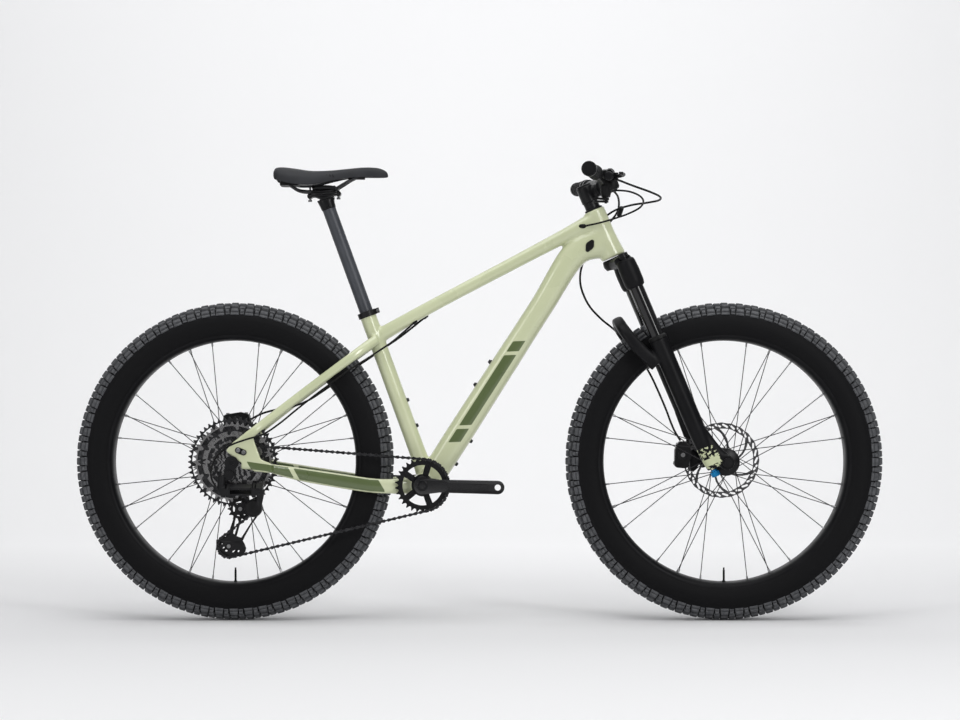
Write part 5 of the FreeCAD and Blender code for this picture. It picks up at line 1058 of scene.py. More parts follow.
def legShells(sign):
    foot = Vector((frontCentre.x, sign * fork["footSide"], frontCentre.z))
    top, axis = (steer(fork[at], fork["ahead"], sign * fork["side"]) for at in ("bendStart", "bendMiddle"))
    middle, side = axis.lerp(foot, 0.5), left * fork["footHalf"]
    bend = [(p, *halves) for p, halves in zip((top, middle, foot), fork["bendHalves"])]
    shells = [tubeShell(bend), rodShell(foot - side, foot + side, fork["footRadius"])]
    if sign > 0:
        shells += [tubeShell(arm, fork["power"]) for arm in fork["caliperArms"]]
    return shells


def archShell():
    rows, steps = mirrored(fork["arch"]), fork["archSteps"]
    path = smoothPath([steer(along, ahead, side) for side, along, ahead, wide, deep in rows], steps)
    wide, deep = (spread([row[i] for row in rows], steps) for i in (3, 4))
    rings = []
    for i, p in enumerate(path):
        way = wayAt(path, i)
        across = (steerAhead - way * steerAhead.dot(way)).normalized()
        rings.append(roundedRing(p, across, way.cross(across), deep[i], wide[i], fork["power"]))
    return loftShell(rings)


def makeFork():
    rings = [roundedRing(steer(along, ahead, side), steerAhead, steerDown, deep, high, fork["power"])
             for side, along, ahead, deep, high in mirrored(fork["crown"])]
    crown = [loftShell(rings), turnedShell(steer(fork["crownHubStart"]), steerDown, fork["crownHub"], 48)]
    crown += onLegs(fork["sleeveStart"], fork["sleeve"])
    crownSkin = grownTogether("forkCrownSkin", crown, forkBlack, fork["voxel"], 5)
    settle(crownSkin, "fork_upper", "black_paint", "fork_crown")
    profile = [(0, fork["stanchion"]), (fork["stanchionLength"], fork["stanchion"])]
    settle(makePiece("stanchionTubes", onLegs(fork["stanchionStart"], profile, 64), glossBlack), "fork_upper",
           "stanchion_coat", "stanchions")
    legs = onLegs(fork["legStart"], fork["leg"]) + legShells(-1) + legShells(1) + [archShell()]
    lowers = grownTogether("forkLowersSkin", legs, forkPaint, fork["voxel"], 4)
    markPanels(lowers, legBand)
    settle(lowers, "fork_lower", "black_paint", "fork_lowers")
    settle(makePiece("forkSeals", onLegs(fork["sealStart"], fork["seal"]), plasticBlack, 0.4), "fork_lower",
           "black_paint", "fork_lowers")


makeFork()
dials = {
    "compressionDial": (
        138, -1, [(0, 9), (5.5, 9), (6, 12), (16, 11.4), (17, 9)], 14, 1.1, anodBlack, "compression_knob",
        "black_alloy"),
    "reboundDial": (
        668.4, 1, [(0, 7), (4.5, 7), (5, 10), (16, 9.4), (17, 7.5)], 12, 1.2, blueAlloy, "rebound_knob",
        "blue_alloy")}


def knobDial(name, base, axis, profile, ribs, ribRadius, material, body, slot):
    core = makePiece(name + "Core", [turnedShell(base, axis, profile, 36)], material, 0.4)
    settle(core, body, slot, body)
    low, (tall, radius) = profile[-3][0], profile[-2]
    edge = sideVectors(axis.normalized())[0] * radius
    rib = rodShell(edge + axis * low, edge + axis * tall, ribRadius, ribRadius * 0.8, 8)
    settle(ringPiece(name + "Ribs", [rib], ribs, axis, base, material), body, slot, body)


for name, (along, sign, *values) in dials.items():
    knobDial(name, steer(along, fork["ahead"], -fork["side"]), steerDown * sign, *values)
print("stage: fork ready")

# Drive: cogs, ring, chain, cranks and derailleur
drive = {
    "cogs": (10, 12, 14, 16, 18, 21, 24, 28, 33, 39, 45, 51), "firstCog": -92.5, "cogStep": 3.55,
    "cogHalf": 0.9, "smallCog": 14, "smallBore": (12, 24), "bore": (17, 32), "cogRim": 6.6, "cogInset": 5,
    "leastWindow": 2, "windowTeeth": 3, "windowTurn": 0.07, "windowShare": 0.7, "windowInset": 0.12,
    "lockring": [(0, 9), (0, 13), (3.4, 15), (4, 15), (40, 18.5), (42, 12)], "lockringStart": -96,
    "notch": (13.2, -97, -94, 1.4), "notches": 16, "ring": 30, "engaged": 21, "pulley": 13, "links": 116,
    "guide": Vector((-557.993, chainSide, 264.911)), "tension": Vector((-584.815, chainSide, 177.953)),
    "cagePivot": Vector((-525.5, -84, 267.5)), "crank": 175}


def pitchRadius(teeth):
    return pitch / (2 * math.sin(math.pi / teeth))


flatPlace = wheelPlace(Vector())


def toothOutline(teeth, tip=3.4, root=3.6):
    radius = pitchRadius(teeth)
    flank = ((-0.34, -root * 0.75), (-0.2, -root * 0.1), (-0.09, tip))
    steps = flank + tuple((-share, rise) for share, rise in reversed(flank)) + ((0.5, -root),)
    points = []
    for i in range(teeth):
        for share, rise in steps:
            t = math.tau * (i + 0.5 + share) / teeth
            points.append(((radius + rise) * math.cos(t), (radius + rise) * math.sin(t)))
    return points


def sectorWindow(inner, outer, start, end, steps=6):
    points, inset = [], (end - start) * drive["windowInset"]
    for i in range(steps + 1):
        t = start + (end - start) * i / steps
        points.append((outer * math.cos(t), outer * math.sin(t)))
    for i in range(steps + 1):
        t = end - inset - (end - start - 2 * inset) * i / steps
        points.append((inner * math.cos(t), inner * math.sin(t)))
    return points


def cogHoles(number, teeth):
    if teeth <= drive["smallCog"]:
        return [circlePoints(0, 0, *drive["smallBore"])]
    holes, windows = [circlePoints(0, 0, *drive["bore"])], teeth // drive["windowTeeth"]
    inner = pitchRadius(drive["cogs"][number - 1]) - drive["cogInset"]
    outer = pitchRadius(teeth) - drive["cogRim"]
    for i in range(windows if outer > inner + drive["leastWindow"] else 0):
        start = math.tau * (i + drive["windowTurn"] * number) / windows
        holes.append(sectorWindow(inner, outer, start, start + math.tau / windows * drive["windowShare"], 3))
    return holes


def makeCassette():
    steel, black = [], []
    for number, teeth in enumerate(drive["cogs"]):
        side = drive["firstCog"] + drive["cogStep"] * number
        cog = plateShell(toothOutline(teeth), cogHoles(number, teeth), side - drive["cogHalf"],
                         side + drive["cogHalf"], wheelPlace(rearCentre))
        (black if number % 2 else steel).append(cog)
    steel.append(turnedShell(rearCentre + left * drive["lockringStart"], left, drive["lockring"], 48))
    settle(makePiece("cassetteCogs", steel, cogSteel), "cassette", "steel", "cassette")
    settle(makePiece("cassetteDarkCogs", black, darkSteel), "cassette", "steel", "cassette")
    ahead, near, far, radius = drive["notch"]
    notch = rodShell(Vector((ahead, near, 0)), Vector((ahead, far, 0)), radius, sides=8)
    settle(ringPiece("cassetteLockNotches", [notch], drive["notches"], left, rearCentre, darkSteel),
           "cassette", "steel", "cassette")


def arcAt(middle, radius, first, sense):
    def at(s):
        t = first + sense * s / radius
        return middle + Vector((math.cos(t), math.sin(t))) * radius
    return at


def lineAt(start, end):
    way = (end - start).normalized()
    return lambda s: start + way * s


def chainPath():
    circles = [(Vector((centre.x, centre.z)), pitchRadius(drive[teeth]), sense) for centre, teeth, sense in (
        (bracketCentre, "ring", -1), (drive["tension"], "pulley", -1), (drive["guide"], "pulley", 1),
        (rearCentre, "engaged", -1))]
    lines = []
    for i, (a, ra, sa) in enumerate(circles):
        b, rb, sb = circles[(i + 1) % len(circles)]
        d = b - a
        way = math.atan2(d.y, d.x) - math.asin((sb * rb - sa * ra) / d.length)
        normal = Vector((-math.sin(way), math.cos(way)))
        lines.append((a - normal * sa * ra, b - normal * sb * rb))
    path = []
    for i, (middle, radius, sense) in enumerate(circles):
        start, end = lines[i]
        arrive, leave = lines[i - 1][1] - middle, start - middle
        first, last = math.atan2(arrive.y, arrive.x), math.atan2(leave.y, leave.x)
        path.append(("arc" + str(i), radius * (((last - first) * sense) % math.tau),
                     arcAt(middle, radius, first, sense)))
        path.append(("line" + str(i), (end - start).length, lineAt(start, end)))
    return path


# each link: side of its plates, their waist and end radius, half length and radius of its pins
chain = {
    "outer": (3.0, 2.1, 4.4, 4, 1.8, 8), "inner": (1.9, 1.6, 3.8, 1.6, 3.7, 10), "plateHalf": 0.45,
    "endTurns": (-1.15, -0.55, 0, 0.55, 1.15), "crease": 40,
    "groups": {
        "frame": ("arc0", "arc3", "line3"), "lower": ("line0",), "cage": ("arc1", "line1", "arc2"),
        "upper": ("line2",)},
    "rides": {"frame": "frame", "cage": "derailleur_cage"},
    "spans": {
        "lower": (bracketCentre + Vector((-20, chainSide, -60)), drive["tension"] + Vector((20, 0, -26))),
        "upper": (drive["guide"] + Vector((-6, 0, 78)), drive["guide"] + Vector((14, 0, 24)))}}


def linkShells(side, waist, end, pinHalf, pinRadius, pinSides):
    loop = []
    for sign in (1, -1):
        loop += [(sign * (pitch / 2 + end * math.cos(t)), sign * end * math.sin(t))
                 for t in chain["endTurns"]]
        loop.append((0, sign * waist))
    shells = [plateShell(loop, [], at - chain["plateHalf"], at + chain["plateHalf"], flatPlace)
              for at in (-side, side)]
    return shells + [rodShell(Vector((x, -pinHalf, 0)), Vector((x, pinHalf, 0)), pinRadius, sides=pinSides)
                     for x in (-pitch / 2, pitch / 2)]


def rollerPlaces():
    path = chainPath()
    step = sum(length for name, length, at in path) / drive["links"]
    print("chain pitch", round(step, 3))
    rollers = []
    for i in range(drive["links"]):
        s = i * step
        for name, length, at in path:
            if s <= length:
                p = at(s)
                rollers.append((name, Vector((p.x, chainSide, p.y))))
                break
            s -= length
    return rollers


def makeChain():
    rollers = rollerPlaces()
    for group, stretches in chain["groups"].items():
        places = ([], [])
        for i, (name, p) in enumerate(rollers):
            if name in stretches:
                after = rollers[(i + 1) % len(rollers)][1]
                places[i % 2].append(((p + after) / 2, -math.atan2(after.z - p.z, after.x - p.x)))
        sets = [pathPiece(label + group, spots, linkShells(*chain[kind]), darkSteel)
                for label, kind, spots in (("chainOuter_", "outer", places[0]),
                                           ("chainInner_", "inner", places[1]))]
        piece = mergePieces("chain_" + group, sets)
        shaded(piece, chain["crease"])
        if group in chain["rides"]:
            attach(piece, chain["rides"][group])
        else:
            start, end = chain["spans"][group]
            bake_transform(piece)
        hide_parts("chain")


ring = {
    "windows": 5, "window": (26, 47), "windowInset": (0.2, 0.12), "bore": 12.5, "half": 1.7, "tooth": 3.8,
    "hub": [(0, 19), (2, 21), (8, 24), (10, 24)], "hubStart": -84, "ribPhase": -0.04,
    "ribFaces": (-3.0, -1.2), "rib": [(24, -3.2), (50, -2.4), (50, 2.4), (24, 3.2)]}


def windowsRound(inner, outer, count, lead, trail, steps=6):
    return [sectorWindow(inner, outer, math.tau * i / count + lead, math.tau * (i + 1) / count - trail, steps)
            for i in range(count)]


def makeRing():
    holes = windowsRound(*ring["window"], ring["windows"], *ring["windowInset"], 10)
    holes.append(circlePoints(0, 0, ring["bore"], 32))
    plate = plateShell(toothOutline(drive["ring"], ring["tooth"], ring["tooth"]), holes,
                       chainSide - ring["half"], chainSide + ring["half"], wheelPlace(bracketCentre))
    settle(makePiece("ringPlate", [plate], anodBlack, 0.35), "crank", "black_alloy", "chainring")
    spider = [turnedShell(bracketCentre + left * ring["hubStart"], left, ring["hub"], 48)]
    settle(makePiece("ringHub", spider, anodBlack, 0.5), "crank", "black_alloy", "chainring")
    near, far = (chainSide + face for face in ring["ribFaces"])
    ribs = ringPiece("ringRibs", [plateShell(ring["rib"], [], near, far, flatPlace)], ring["windows"], left,
                     bracketCentre, anodBlack, ring["ribPhase"])
    settle(ribs, "crank", "black_alloy", "chainring")


crank = {
    "faces": (84, 101), "flare": 10, "arm": [(40, 0, 15), (drive["crank"], 0, 15.6)], "pedalHole": 7.2,
    "boss": [(0, 0, 20.5), (46, 0, 14)], "bossProud": 0.6, "bevel": 2.4, "lipFaces": (100.6, 101.9),
    "lip": [(66, 0, 7.5), (148, 0, 6.5)], "lipInside": [(66, 0, 6.3), (148, 0, 5.3)], "capStart": 99,
    "cap": [(0, 13), (4, 13), (5, 11.5), (5, 8), (3, 7), (3, 0.4)], "spindle": 12,
    "arms": {"crankRight": ("crank_right", -1, -1.3), "crankLeft": ("crank_left", 1, 178.7)}}


def makeCrank(name, node, sign, angle):
    turn, lead = math.radians(angle), drive["crank"]

    def place(u, v, depth):
        shift = sign * crank["flare"] * min(max(u / lead, 0), 1)
        x, z = u * math.cos(turn) - v * math.sin(turn), u * math.sin(turn) + v * math.cos(turn)
        return Vector((bracketCentre.x + x, depth + shift, bracketCentre.z + z))
    near, far = sorted(sign * face for face in crank["faces"])
    shells = [plateShell(hullPoints(crank["arm"], 48), [circlePoints(lead, 0, crank["pedalHole"], 32)],
                         near, far, place),
              plateShell(hullPoints(crank["boss"], 48), [], near - crank["bossProud"],
                         far + crank["bossProud"], place)]
    settle(makePiece(name + "Arm", shells, crankBlack, crank["bevel"], steps=3), "crank", "black_alloy", node)
    near, far = (sign * face for face in crank["lipFaces"])
    lip = plateShell(hullPoints(crank["lip"], 28), [hullPoints(crank["lipInside"], 28)], near, far, place)
    settle(makePiece(name + "PanelLip", [lip], glossBlack), "crank", "black_alloy", node)
    out = left * sign
    cap = turnedShell(bracketCentre + out * crank["capStart"], out, crank["cap"], 40)
    settle(makePiece(name + "Cap", [cap], anodBlack, 0.3), "crank", "black_alloy", node)


makeCassette()
makeChain()
makeRing()
for name, values in crank["arms"].items():
    makeCrank(name, *values)
side = left * crank["faces"][0]
spindle = rodShell(bracketCentre - side, bracketCentre + side, crank["spindle"], sides=40)
settle(makePiece("crankSpindle", [spindle], anodBlack), "crank", "black_alloy", "crank_left")


pulley = {
    "bore": (5, 20), "window": (9, 17.5, 5, 0.2, 0.2), "teeth": (3.2, 3.4), "half": 1.4, "bushHalf": 3.6,
    "bush": 6.2}


def makePulley(name):
    centre = drive[name.split("_")[0]]
    holes = [circlePoints(0, 0, *pulley["bore"])] + windowsRound(*pulley["window"])
    plate = plateShell(toothOutline(drive["pulley"], *pulley["teeth"]), holes, chainSide - pulley["half"],
                       chainSide + pulley["half"], wheelPlace(centre))
    side = left * pulley["bushHalf"]
    bush = rodShell(centre - side, centre + side, pulley["bush"], sides=28)
    settle(makePiece(name + "Wheel", [plate, bush], plasticBlack), name, "black_plastic", name)


cage = {
    "outer": [
        (-614, 182), (-605, 172), (-596.5, 165), (-585, 158), (-575, 154), (-563, 154.5), (-553, 158),
        (-546, 165), (-544, 173.5), (-548, 184), (-552, 191), (-546, 203), (-532, 228), (-518, 247),
        (-511, 258), (-510, 270), (-516, 280), (-528, 284), (-545, 281), (-562, 277.5), (-570, 270),
        (-571, 258), (-574, 240), (-579, 215), (-584, 205), (-594, 196), (-606, 195), (-614, 193)],
    "window": [
        (-574.5, 208), (-570, 236), (-566.5, 252), (-556, 254), (-541, 251), (-524, 246.5), (-537, 227),
        (-551, 205), (-556, 198), (-565, 201)],
    "holes": [(-605.5, 184.5, 0.3, 2.2, 4.0), (-593, 171, -0.75, 3.6, 3.0), (-568, 166, 0.3, 5.0, 3.4)],
    "outerFaces": (-6.4, -4.4), "inner": [(-585.1, 178.1, 11), (-558, 265, 8.4)],
    "innerHole": (-572, 221, 1.268, 26, 4.6), "innerFaces": (4.4, 6.2), "boltStart": -8,
    "bolt": [(0, 2.4), (0, 4.4), (1.6, 4.8), (2, 3), (15, 3)],
    "barrel": [(0, 15), (1, 19.5), (3, 20.5), (20, 20.5), (25, 19), (27, 15), (27.6, 0.5)]}


def makeCage():
    holes = [slotPoints(*hole) for hole in cage["holes"]] + [cage["window"]]
    inner, innerHoles = hullPoints(cage["inner"], 24), [slotPoints(*cage["innerHole"])]
    shells = [plateShell(outline, inside, *(chainSide + face for face in faces), flatPlace)
              for outline, inside, faces in ((cage["outer"], holes, cage["outerFaces"]),
                                             (inner, innerHoles, cage["innerFaces"]))]
    settle(makePiece("cagePlates", shells, satinBlack, 0.5), "derailleur_cage", "black_alloy",
           "derailleur_cage")
    bolts = [turnedShell(drive[end] + left * cage["boltStart"], left, cage["bolt"], 20)
             for end in ("guide", "tension")]
    settle(makePiece("cageBolts", bolts, boltSteel), "derailleur_cage", "dark_steel", "derailleur_cage")
    barrel = turnedShell(drive["cagePivot"], -left, cage["barrel"], 48)
    settle(makePiece("clutchBarrel", [barrel], plasticBlack, 0.6), "derailleur_body", "black_plastic")


makePulley("guide_pulley")
makePulley("tension_pulley")
makeCage()
print("stage: drive ready")

# Cockpit: spacers, stem, bar, grips
barCentre = Vector((293.2, 0, 1019.3))
cockpit = {
    "flat": 34, "bend": 112, "back": 8, "rise": 17, "sweep": 9.0, "upsweep": 0.3, "thick": 15.9, "thin": 11.1,
    "taperStart": 44, "taperLength": 60, "barEnd": 376, "barSteps": 94, "axisSides": (200, 300),
    "spacers": [(0, 21), (3, 22), (5, 18), (5.2, 17.5), (12.4, 17.5), (12.6, 17), (12.8, 17.5), (19.8, 17.5)],
    "stemFoot": -20, "stemMiddle": -40, "stemTop": -60, "stemHalves": ((17, 17), (15, 16), (21, 17)),
    "stemTube": [(0, 17.5), (0.5, 19.6), (38, 19.6), (39.6, 18.5)], "clampHalf": 23, "clampRadius": 21.5,
    "stemPower": 3.2, "stemVoxel": 1.4,
    "cap": [(0, 17), (0.4, 18), (3, 17.4), (4, 15), (4, 5), (2.6, 4.4), (2.6, 0.3)], "boltReach": (12, 23),
    "boltSide": 16, "boltRise": 15, "boltRadius": 3.2}


def barPoint(side):
    reach = abs(side)
    if reach <= cockpit["bend"]:
        t = max(reach - cockpit["flat"], 0) / (cockpit["bend"] - cockpit["flat"])
        t = t * t * (3 - 2 * t)
        return barCentre + Vector((-cockpit["back"] * t, side, cockpit["rise"] * t))
    more = reach - cockpit["bend"]
    return barCentre + Vector((-cockpit["back"] - more * math.tan(math.radians(cockpit["sweep"])), side,
                               cockpit["rise"] + more * math.tan(math.radians(cockpit["upsweep"]))))


grip = {
    "start": 251, "end": 380, "inset": 13, "ribs": 24, "ribStart": 13.5, "ribInset": 28, "core": 12,
    "valley": 15.2, "rib": ((0, 15.2), (0.8, 16.2), (3.0, 16.2), (3.8, 15.2)), "collarLength": 12.4,
    "collar": ((0, 12), (0.2, 16.4), (1, 17.2), (11, 17.2), (12, 16.2), (12.2, 11)),
    "plug": [(-3, 10), (0, 15.4), (1.4, 15.4), (2, 12), (1, 7), (1, 0.4)]}


def makeStem():
    stack = [turnedShell(steer(0), -steerDown, cockpit["spacers"], 48)]
    settle(makePiece("spacerStack", stack, satinBlack, 0.3), "fork_upper", "black_alloy", "headset_spacers")
    middle, side = steer(cockpit["stemMiddle"]), left * cockpit["clampHalf"]
    places = (middle, middle.lerp(barCentre, 0.5), barCentre)
    body = [turnedShell(steer(cockpit["stemFoot"]), -steerDown, cockpit["stemTube"], 48),
            tubeShell([(p, *halves) for p, halves in zip(places, cockpit["stemHalves"])],
                      cockpit["stemPower"]),
            rodShell(barCentre - side, barCentre + side, cockpit["clampRadius"], sides=48)]
    settle(grownTogether("stemSkin", body, satinBlack, cockpit["stemVoxel"], 3), "fork_upper", "black_alloy",
           "stem")
    cap = [turnedShell(steer(cockpit["stemTop"]), -steerDown, cockpit["cap"], 40)]
    settle(makePiece("stemCap", cap, anodBlack), "fork_upper", "black_alloy", "stem")
    ahead = (barCentre - middle).normalized()
    rise = left.cross(ahead).normalized()
    bolts = []
    for across in (-cockpit["boltSide"], cockpit["boltSide"]):
        for tall in (-cockpit["boltRise"], cockpit["boltRise"]):
            near, far = (barCentre + ahead * reach + left * across + rise * tall
                         for reach in cockpit["boltReach"])
            bolts.append(rodShell(near, far, cockpit["boltRadius"], sides=16))
    settle(makePiece("stemBolts", bolts, boltSteel, 0.4), "fork_upper", "dark_steel", "stem")


def makeGrips():
    rubber, collars = [], []
    for sign in (-1, 1):
        start, end = barPoint(sign * grip["start"]), barPoint(sign * grip["end"])
        way, length = (end - start).normalized(), (end - start).length
        profile = [(grip["inset"], grip["core"])]
        for i in range(grip["ribs"]):
            at = grip["ribStart"] + (length - grip["ribInset"]) * i / grip["ribs"]
            profile += [(at + step, radius) for step, radius in grip["rib"]]
        profile += [(length - grip["inset"], grip["valley"]), (length - grip["inset"], grip["core"])]
        rubber.append(turnedShell(start, way, profile, 40))
        for at in (0, length - grip["collarLength"]):
            collars.append(turnedShell(start, way, [(at + step, radius) for step, radius in grip["collar"]],
                                       40))
        collars.append(turnedShell(end, way, grip["plug"], 32))
    settle(makePiece("gripRubberSleeves", rubber, gripRubber, 0, 25), "fork_upper", "grip_rubber", "grips")
    settle(makePiece("gripCollars", collars, anodBlack, 0, 35), "fork_upper", "black_alloy", "grips")


def makeCockpit():
    makeStem()
    steps, reach = cockpit["barSteps"], cockpit["barEnd"]
    sides = [reach * (2 * i / steps - 1) for i in range(steps + 1)]
    radii = []
    for side in sides:
        t = min(max((abs(side) - cockpit["taperStart"]) / cockpit["taperLength"], 0), 1)
        radii.append(cockpit["thick"] + (cockpit["thin"] - cockpit["thick"]) * t)
    bar = sweepShell([barPoint(s) for s in sides], radii, 32)
    settle(makePiece("barTube", [bar], satinBlack), "fork_upper", "black_alloy", "handlebar")
    makeGrips()


makeCockpit()
print("stage: cockpit ready")

# Brake bodies, shifter, calipers and frame fittings
control = {
    "clampSide": 232, "ahead": 31, "below": 8, "half": 33, "pivotOut": 8, "pivotAhead": 13, "earGap": 5,
    "clampHalf": 7, "clamp": [(0, 13), (0.8, 15.5), (13.2, 15.5), (14, 13)], "blockAhead": 18,
    "block": (7, 6.5, 7), "screwRise": 7, "screwReach": (15, 25), "screw": 2.6,
    "barrel": [(0, 5), (1, 8), (8, 9.5), (44, 9.5), (52, 10.5), (64, 10.5), (66, 8)],
    "ear": [(0, 6), (0.5, 6.8), (3, 6.8), (3.6, 5.4)], "banjoOut": -36,
    "banjo": [(0, 3.4), (0, 4.6), (4, 4.8), (4.4, 4), (8, 4)], "bleedOut": 2, "bleedRise": 17,
    "bleed": [(0, 3.4), (1, 4.4), (2, 4)],
    "spine": (((-20, 0, 6, 7, 8), (0, 0, 9, 9, 9), (16, 0, 7, 8, 8)), 3.4),
    "neck": (((-4, 0, 0, 9, 7), (-2, -12, 3, 8, 7), (0, -17, 8, 8, 8)), 3.2)}


def barAxis(sign):
    near, far = (barPoint(sign * side) for side in cockpit["axisSides"])
    return (far - near).normalized()


shifter = {
    "hub": Vector((300, -206, 1014)), "pivot": Vector((288.33, -207.09, 982.81)), "barSide": -204,
    "spin": Vector((-0.35, 0, 0.94)).normalized(), "drumStart": -15,
    "drum": [(0, 11), (1.5, 15), (6, 17), (22, 17), (27, 14), (28, 9)], "clampHalf": 6,
    "clamp": [(0, 12), (0.6, 14.4), (11.4, 14.4), (12, 12)], "bossStart": 0.6,
    "boss": [(0, 8), (1, 10), (12, 12.5), (26, 13), (30, 10)], "pinDrop": 13, "pin": 2.9,
    "adjuster": Vector((299, -206, 1003)), "adjusterWay": Vector((1, 0, -0.3)),
    "adjusterTurned": [(0, 4), (1, 5.4), (9, 5.4), (10, 3.6), (14, 3.2)], "lidStart": -16.4,
    "lid": [(0, 2), (0.4, 6), (2, 6.4)], "neck": ((6, 12, 9), (-4, 13, 10), (6, 11, 9)), "neckPower": 3.4,
    "spout": ((Vector((0, 0, -4)), 8, 8), (Vector((14, 0, -12)), 7, 7)), "spoutPower": 2.4}


def brakeShells(sign):
    clamp, axis = barPoint(sign * control["clampSide"]), barAxis(sign)
    ahead = (forward - axis * forward.dot(axis)).normalized()
    middle = clamp + ahead * control["ahead"] - up * control["below"]
    pivot = middle + axis * control["pivotOut"] + ahead * control["pivotAhead"]

    def tube(rows, power):
        return tubeShell([(middle + axis * out + ahead * fore + up * tall, *halves)
                          for out, fore, tall, *halves in rows], power)

    bodies = [turnedShell(clamp - axis * control["clampHalf"], axis, control["clamp"], 40),
              blockShell(clamp + ahead * control["blockAhead"], up, axis, ahead, control["block"]),
              turnedShell(middle - axis * control["half"], axis, control["barrel"], 36),
              tube(*control["spine"]), tube(*control["neck"])]
    bodies += [turnedShell(pivot + up * face * control["earGap"], up * face, control["ear"], 28)
               for face in (-1, 1)]
    dark = []
    for tall in (-control["screwRise"], control["screwRise"]):
        near, far = (clamp + ahead * reach + up * tall for reach in control["screwReach"])
        dark.append(rodShell(near, far, control["screw"], sides=16))
    dark.append(turnedShell(middle + axis * control["banjoOut"], axis, control["banjo"], 24))
    dark.append(turnedShell(middle + axis * control["bleedOut"] + up * control["bleedRise"], up,
                            control["bleed"], 20))
    return bodies, dark


def makeShifter():
    hub, pivot, spin = shifter["hub"], shifter["pivot"], shifter["spin"]
    bar, axis = barPoint(shifter["barSide"]), barAxis(-1)
    shell = [turnedShell(hub + spin * shifter["drumStart"], spin, shifter["drum"], 40),
             tubeShell([(place + forward * reach, *halves)
                        for place, (reach, *halves) in zip((bar, hub, hub), shifter["neck"])],
                       shifter["neckPower"]),
             tubeShell([(hub + way, *halves) for way, *halves in shifter["spout"]], shifter["spoutPower"]),
             turnedShell(bar - axis * shifter["clampHalf"], axis, shifter["clamp"], 36),
             turnedShell(pivot + up * shifter["bossStart"], up, shifter["boss"], 36),
             rodShell(pivot - up * shifter["pinDrop"], pivot + up, shifter["pin"], sides=24)]
    settle(makePiece("shifterHousing", shell, plasticBlack, 0.8), "fork_upper", "black_plastic",
           "shifter_body")
    adjust = [turnedShell(shifter["adjuster"], shifter["adjusterWay"], shifter["adjusterTurned"], 24),
              turnedShell(hub + spin * shifter["lidStart"], spin, shifter["lid"], 24)]
    settle(makePiece("shifterAdjuster", adjust, anodBlack, 0.3), "fork_upper", "black_plastic",
           "shifter_body")


def makeControls():
    bodies, dark = [], []
    for sign in (-1, 1):
        sideBodies, sideDark = brakeShells(sign)
        bodies += sideBodies
        dark += sideDark
    settle(makePiece("brakeBodies", bodies, satinBlack, 0.8), "fork_upper", "black_alloy",
           "brake_lever_bodies")
    settle(makePiece("brakeFittings", dark, boltSteel, 0.3), "fork_upper", "dark_steel", "brake_lever_bodies")
    makeShifter()


caliper = {
    "outline": [(-24, -9, 7), (-24, 8, 8), (0, -15, 6), (8, 12, 8), (26, -6, 7), (24, 8, 7)],
    "faces": ((-16, -2.4), (2.4, 16)), "bridge": [(-22, 10, 6), (22, 10, 6)], "bridgeFaces": (-15, 15),
    "pistonStart": 14, "piston": [(0, 12), (3, 12), (4.5, 10), (5, 6)], "boltPlaces": ((-22, 12), (22, 12)),
    "bolt": [(0, 4), (6, 4.4), (7, 3.6)], "lidStart": 18.6, "lid": [(0, 5.5), (0.8, 5), (0.8, 2.6)],
    "places": {
        "front_caliper": (Vector((482.9, 60, 386.6)), Vector((0.14, 0, 0.99)), "fork_lower"),
        "rear_caliper": (Vector((-579.3, 83.5, 467.4)), Vector((0.999, 0, 0.035)), "frame")}}


def makeCaliper(name, centre, way, body):
    across = way.cross(left).normalized()

    def place(u, v, depth):
        return centre + way * u + across * v + left * depth

    def onSides(start, profile, sides):
        return [turnedShell(centre + left * sign * start, left * sign, profile, sides) for sign in (-1, 1)]
    outline, bridge = hullPoints(caliper["outline"], 20), hullPoints(caliper["bridge"], 20)
    shells = [plateShell(outline, [], near, far, place) for near, far in caliper["faces"]]
    shells.append(plateShell(bridge, [], *caliper["bridgeFaces"], place))
    shells += onSides(caliper["pistonStart"], caliper["piston"], 36)
    settle(makePiece(name + "Halves", shells, satinBlack, 1.2, steps=3), body, "black_alloy", name)
    bolts = [turnedShell(place(u, v, 0), across, caliper["bolt"], 20) for u, v in caliper["boltPlaces"]]
    bolts += onSides(caliper["lidStart"], caliper["lid"], 20)
    settle(makePiece(name + "Bolts", bolts, boltSteel, 0.2), body, "dark_steel", name)


fittings = {
    "bossPairs": (
        (Vector((-160.0, 0, 487.7)), seatUp, seatAhead), (Vector((7.6, 0, 580.8)), downWay, downAbove),
        (Vector((-38.6, 0, 394.1)), downWay, -downAbove)),
    "bossReach": 32, "bossSink": 2,
    "boss": [(0, 5.6), (2.6, 5.4), (3.6, 4.4), (4.6, 4.4), (6.6, 3.8), (7, 2.4)],
    "coverMiddle": steer(75, -43), "cover": [(0, 1, 9.6), (5, 10, 5), (-5, -9, 5)],
    "coverFaces": ((-28.6, -20), (20, 28.6)), "portMouth": (246.6, 24.8, 926.8), "portWay": (0.894, 0.447, 0),
    "portSink": 16, "port": [(0, 2.6), (5, 4.6), (12, 5.2), (17, 4.6), (19, 2.6)], "exitSink": 5,
    "exits": (
        (Vector((-129, 7.6, 713.4)), Vector((22, -5, 20))),
        (Vector((-154, -10, 700.7)), Vector((20, 5, 19)))),
    "exit": [(0, 2.7), (1.5, 3.9), (8, 4.4), (12, 4.4)]}


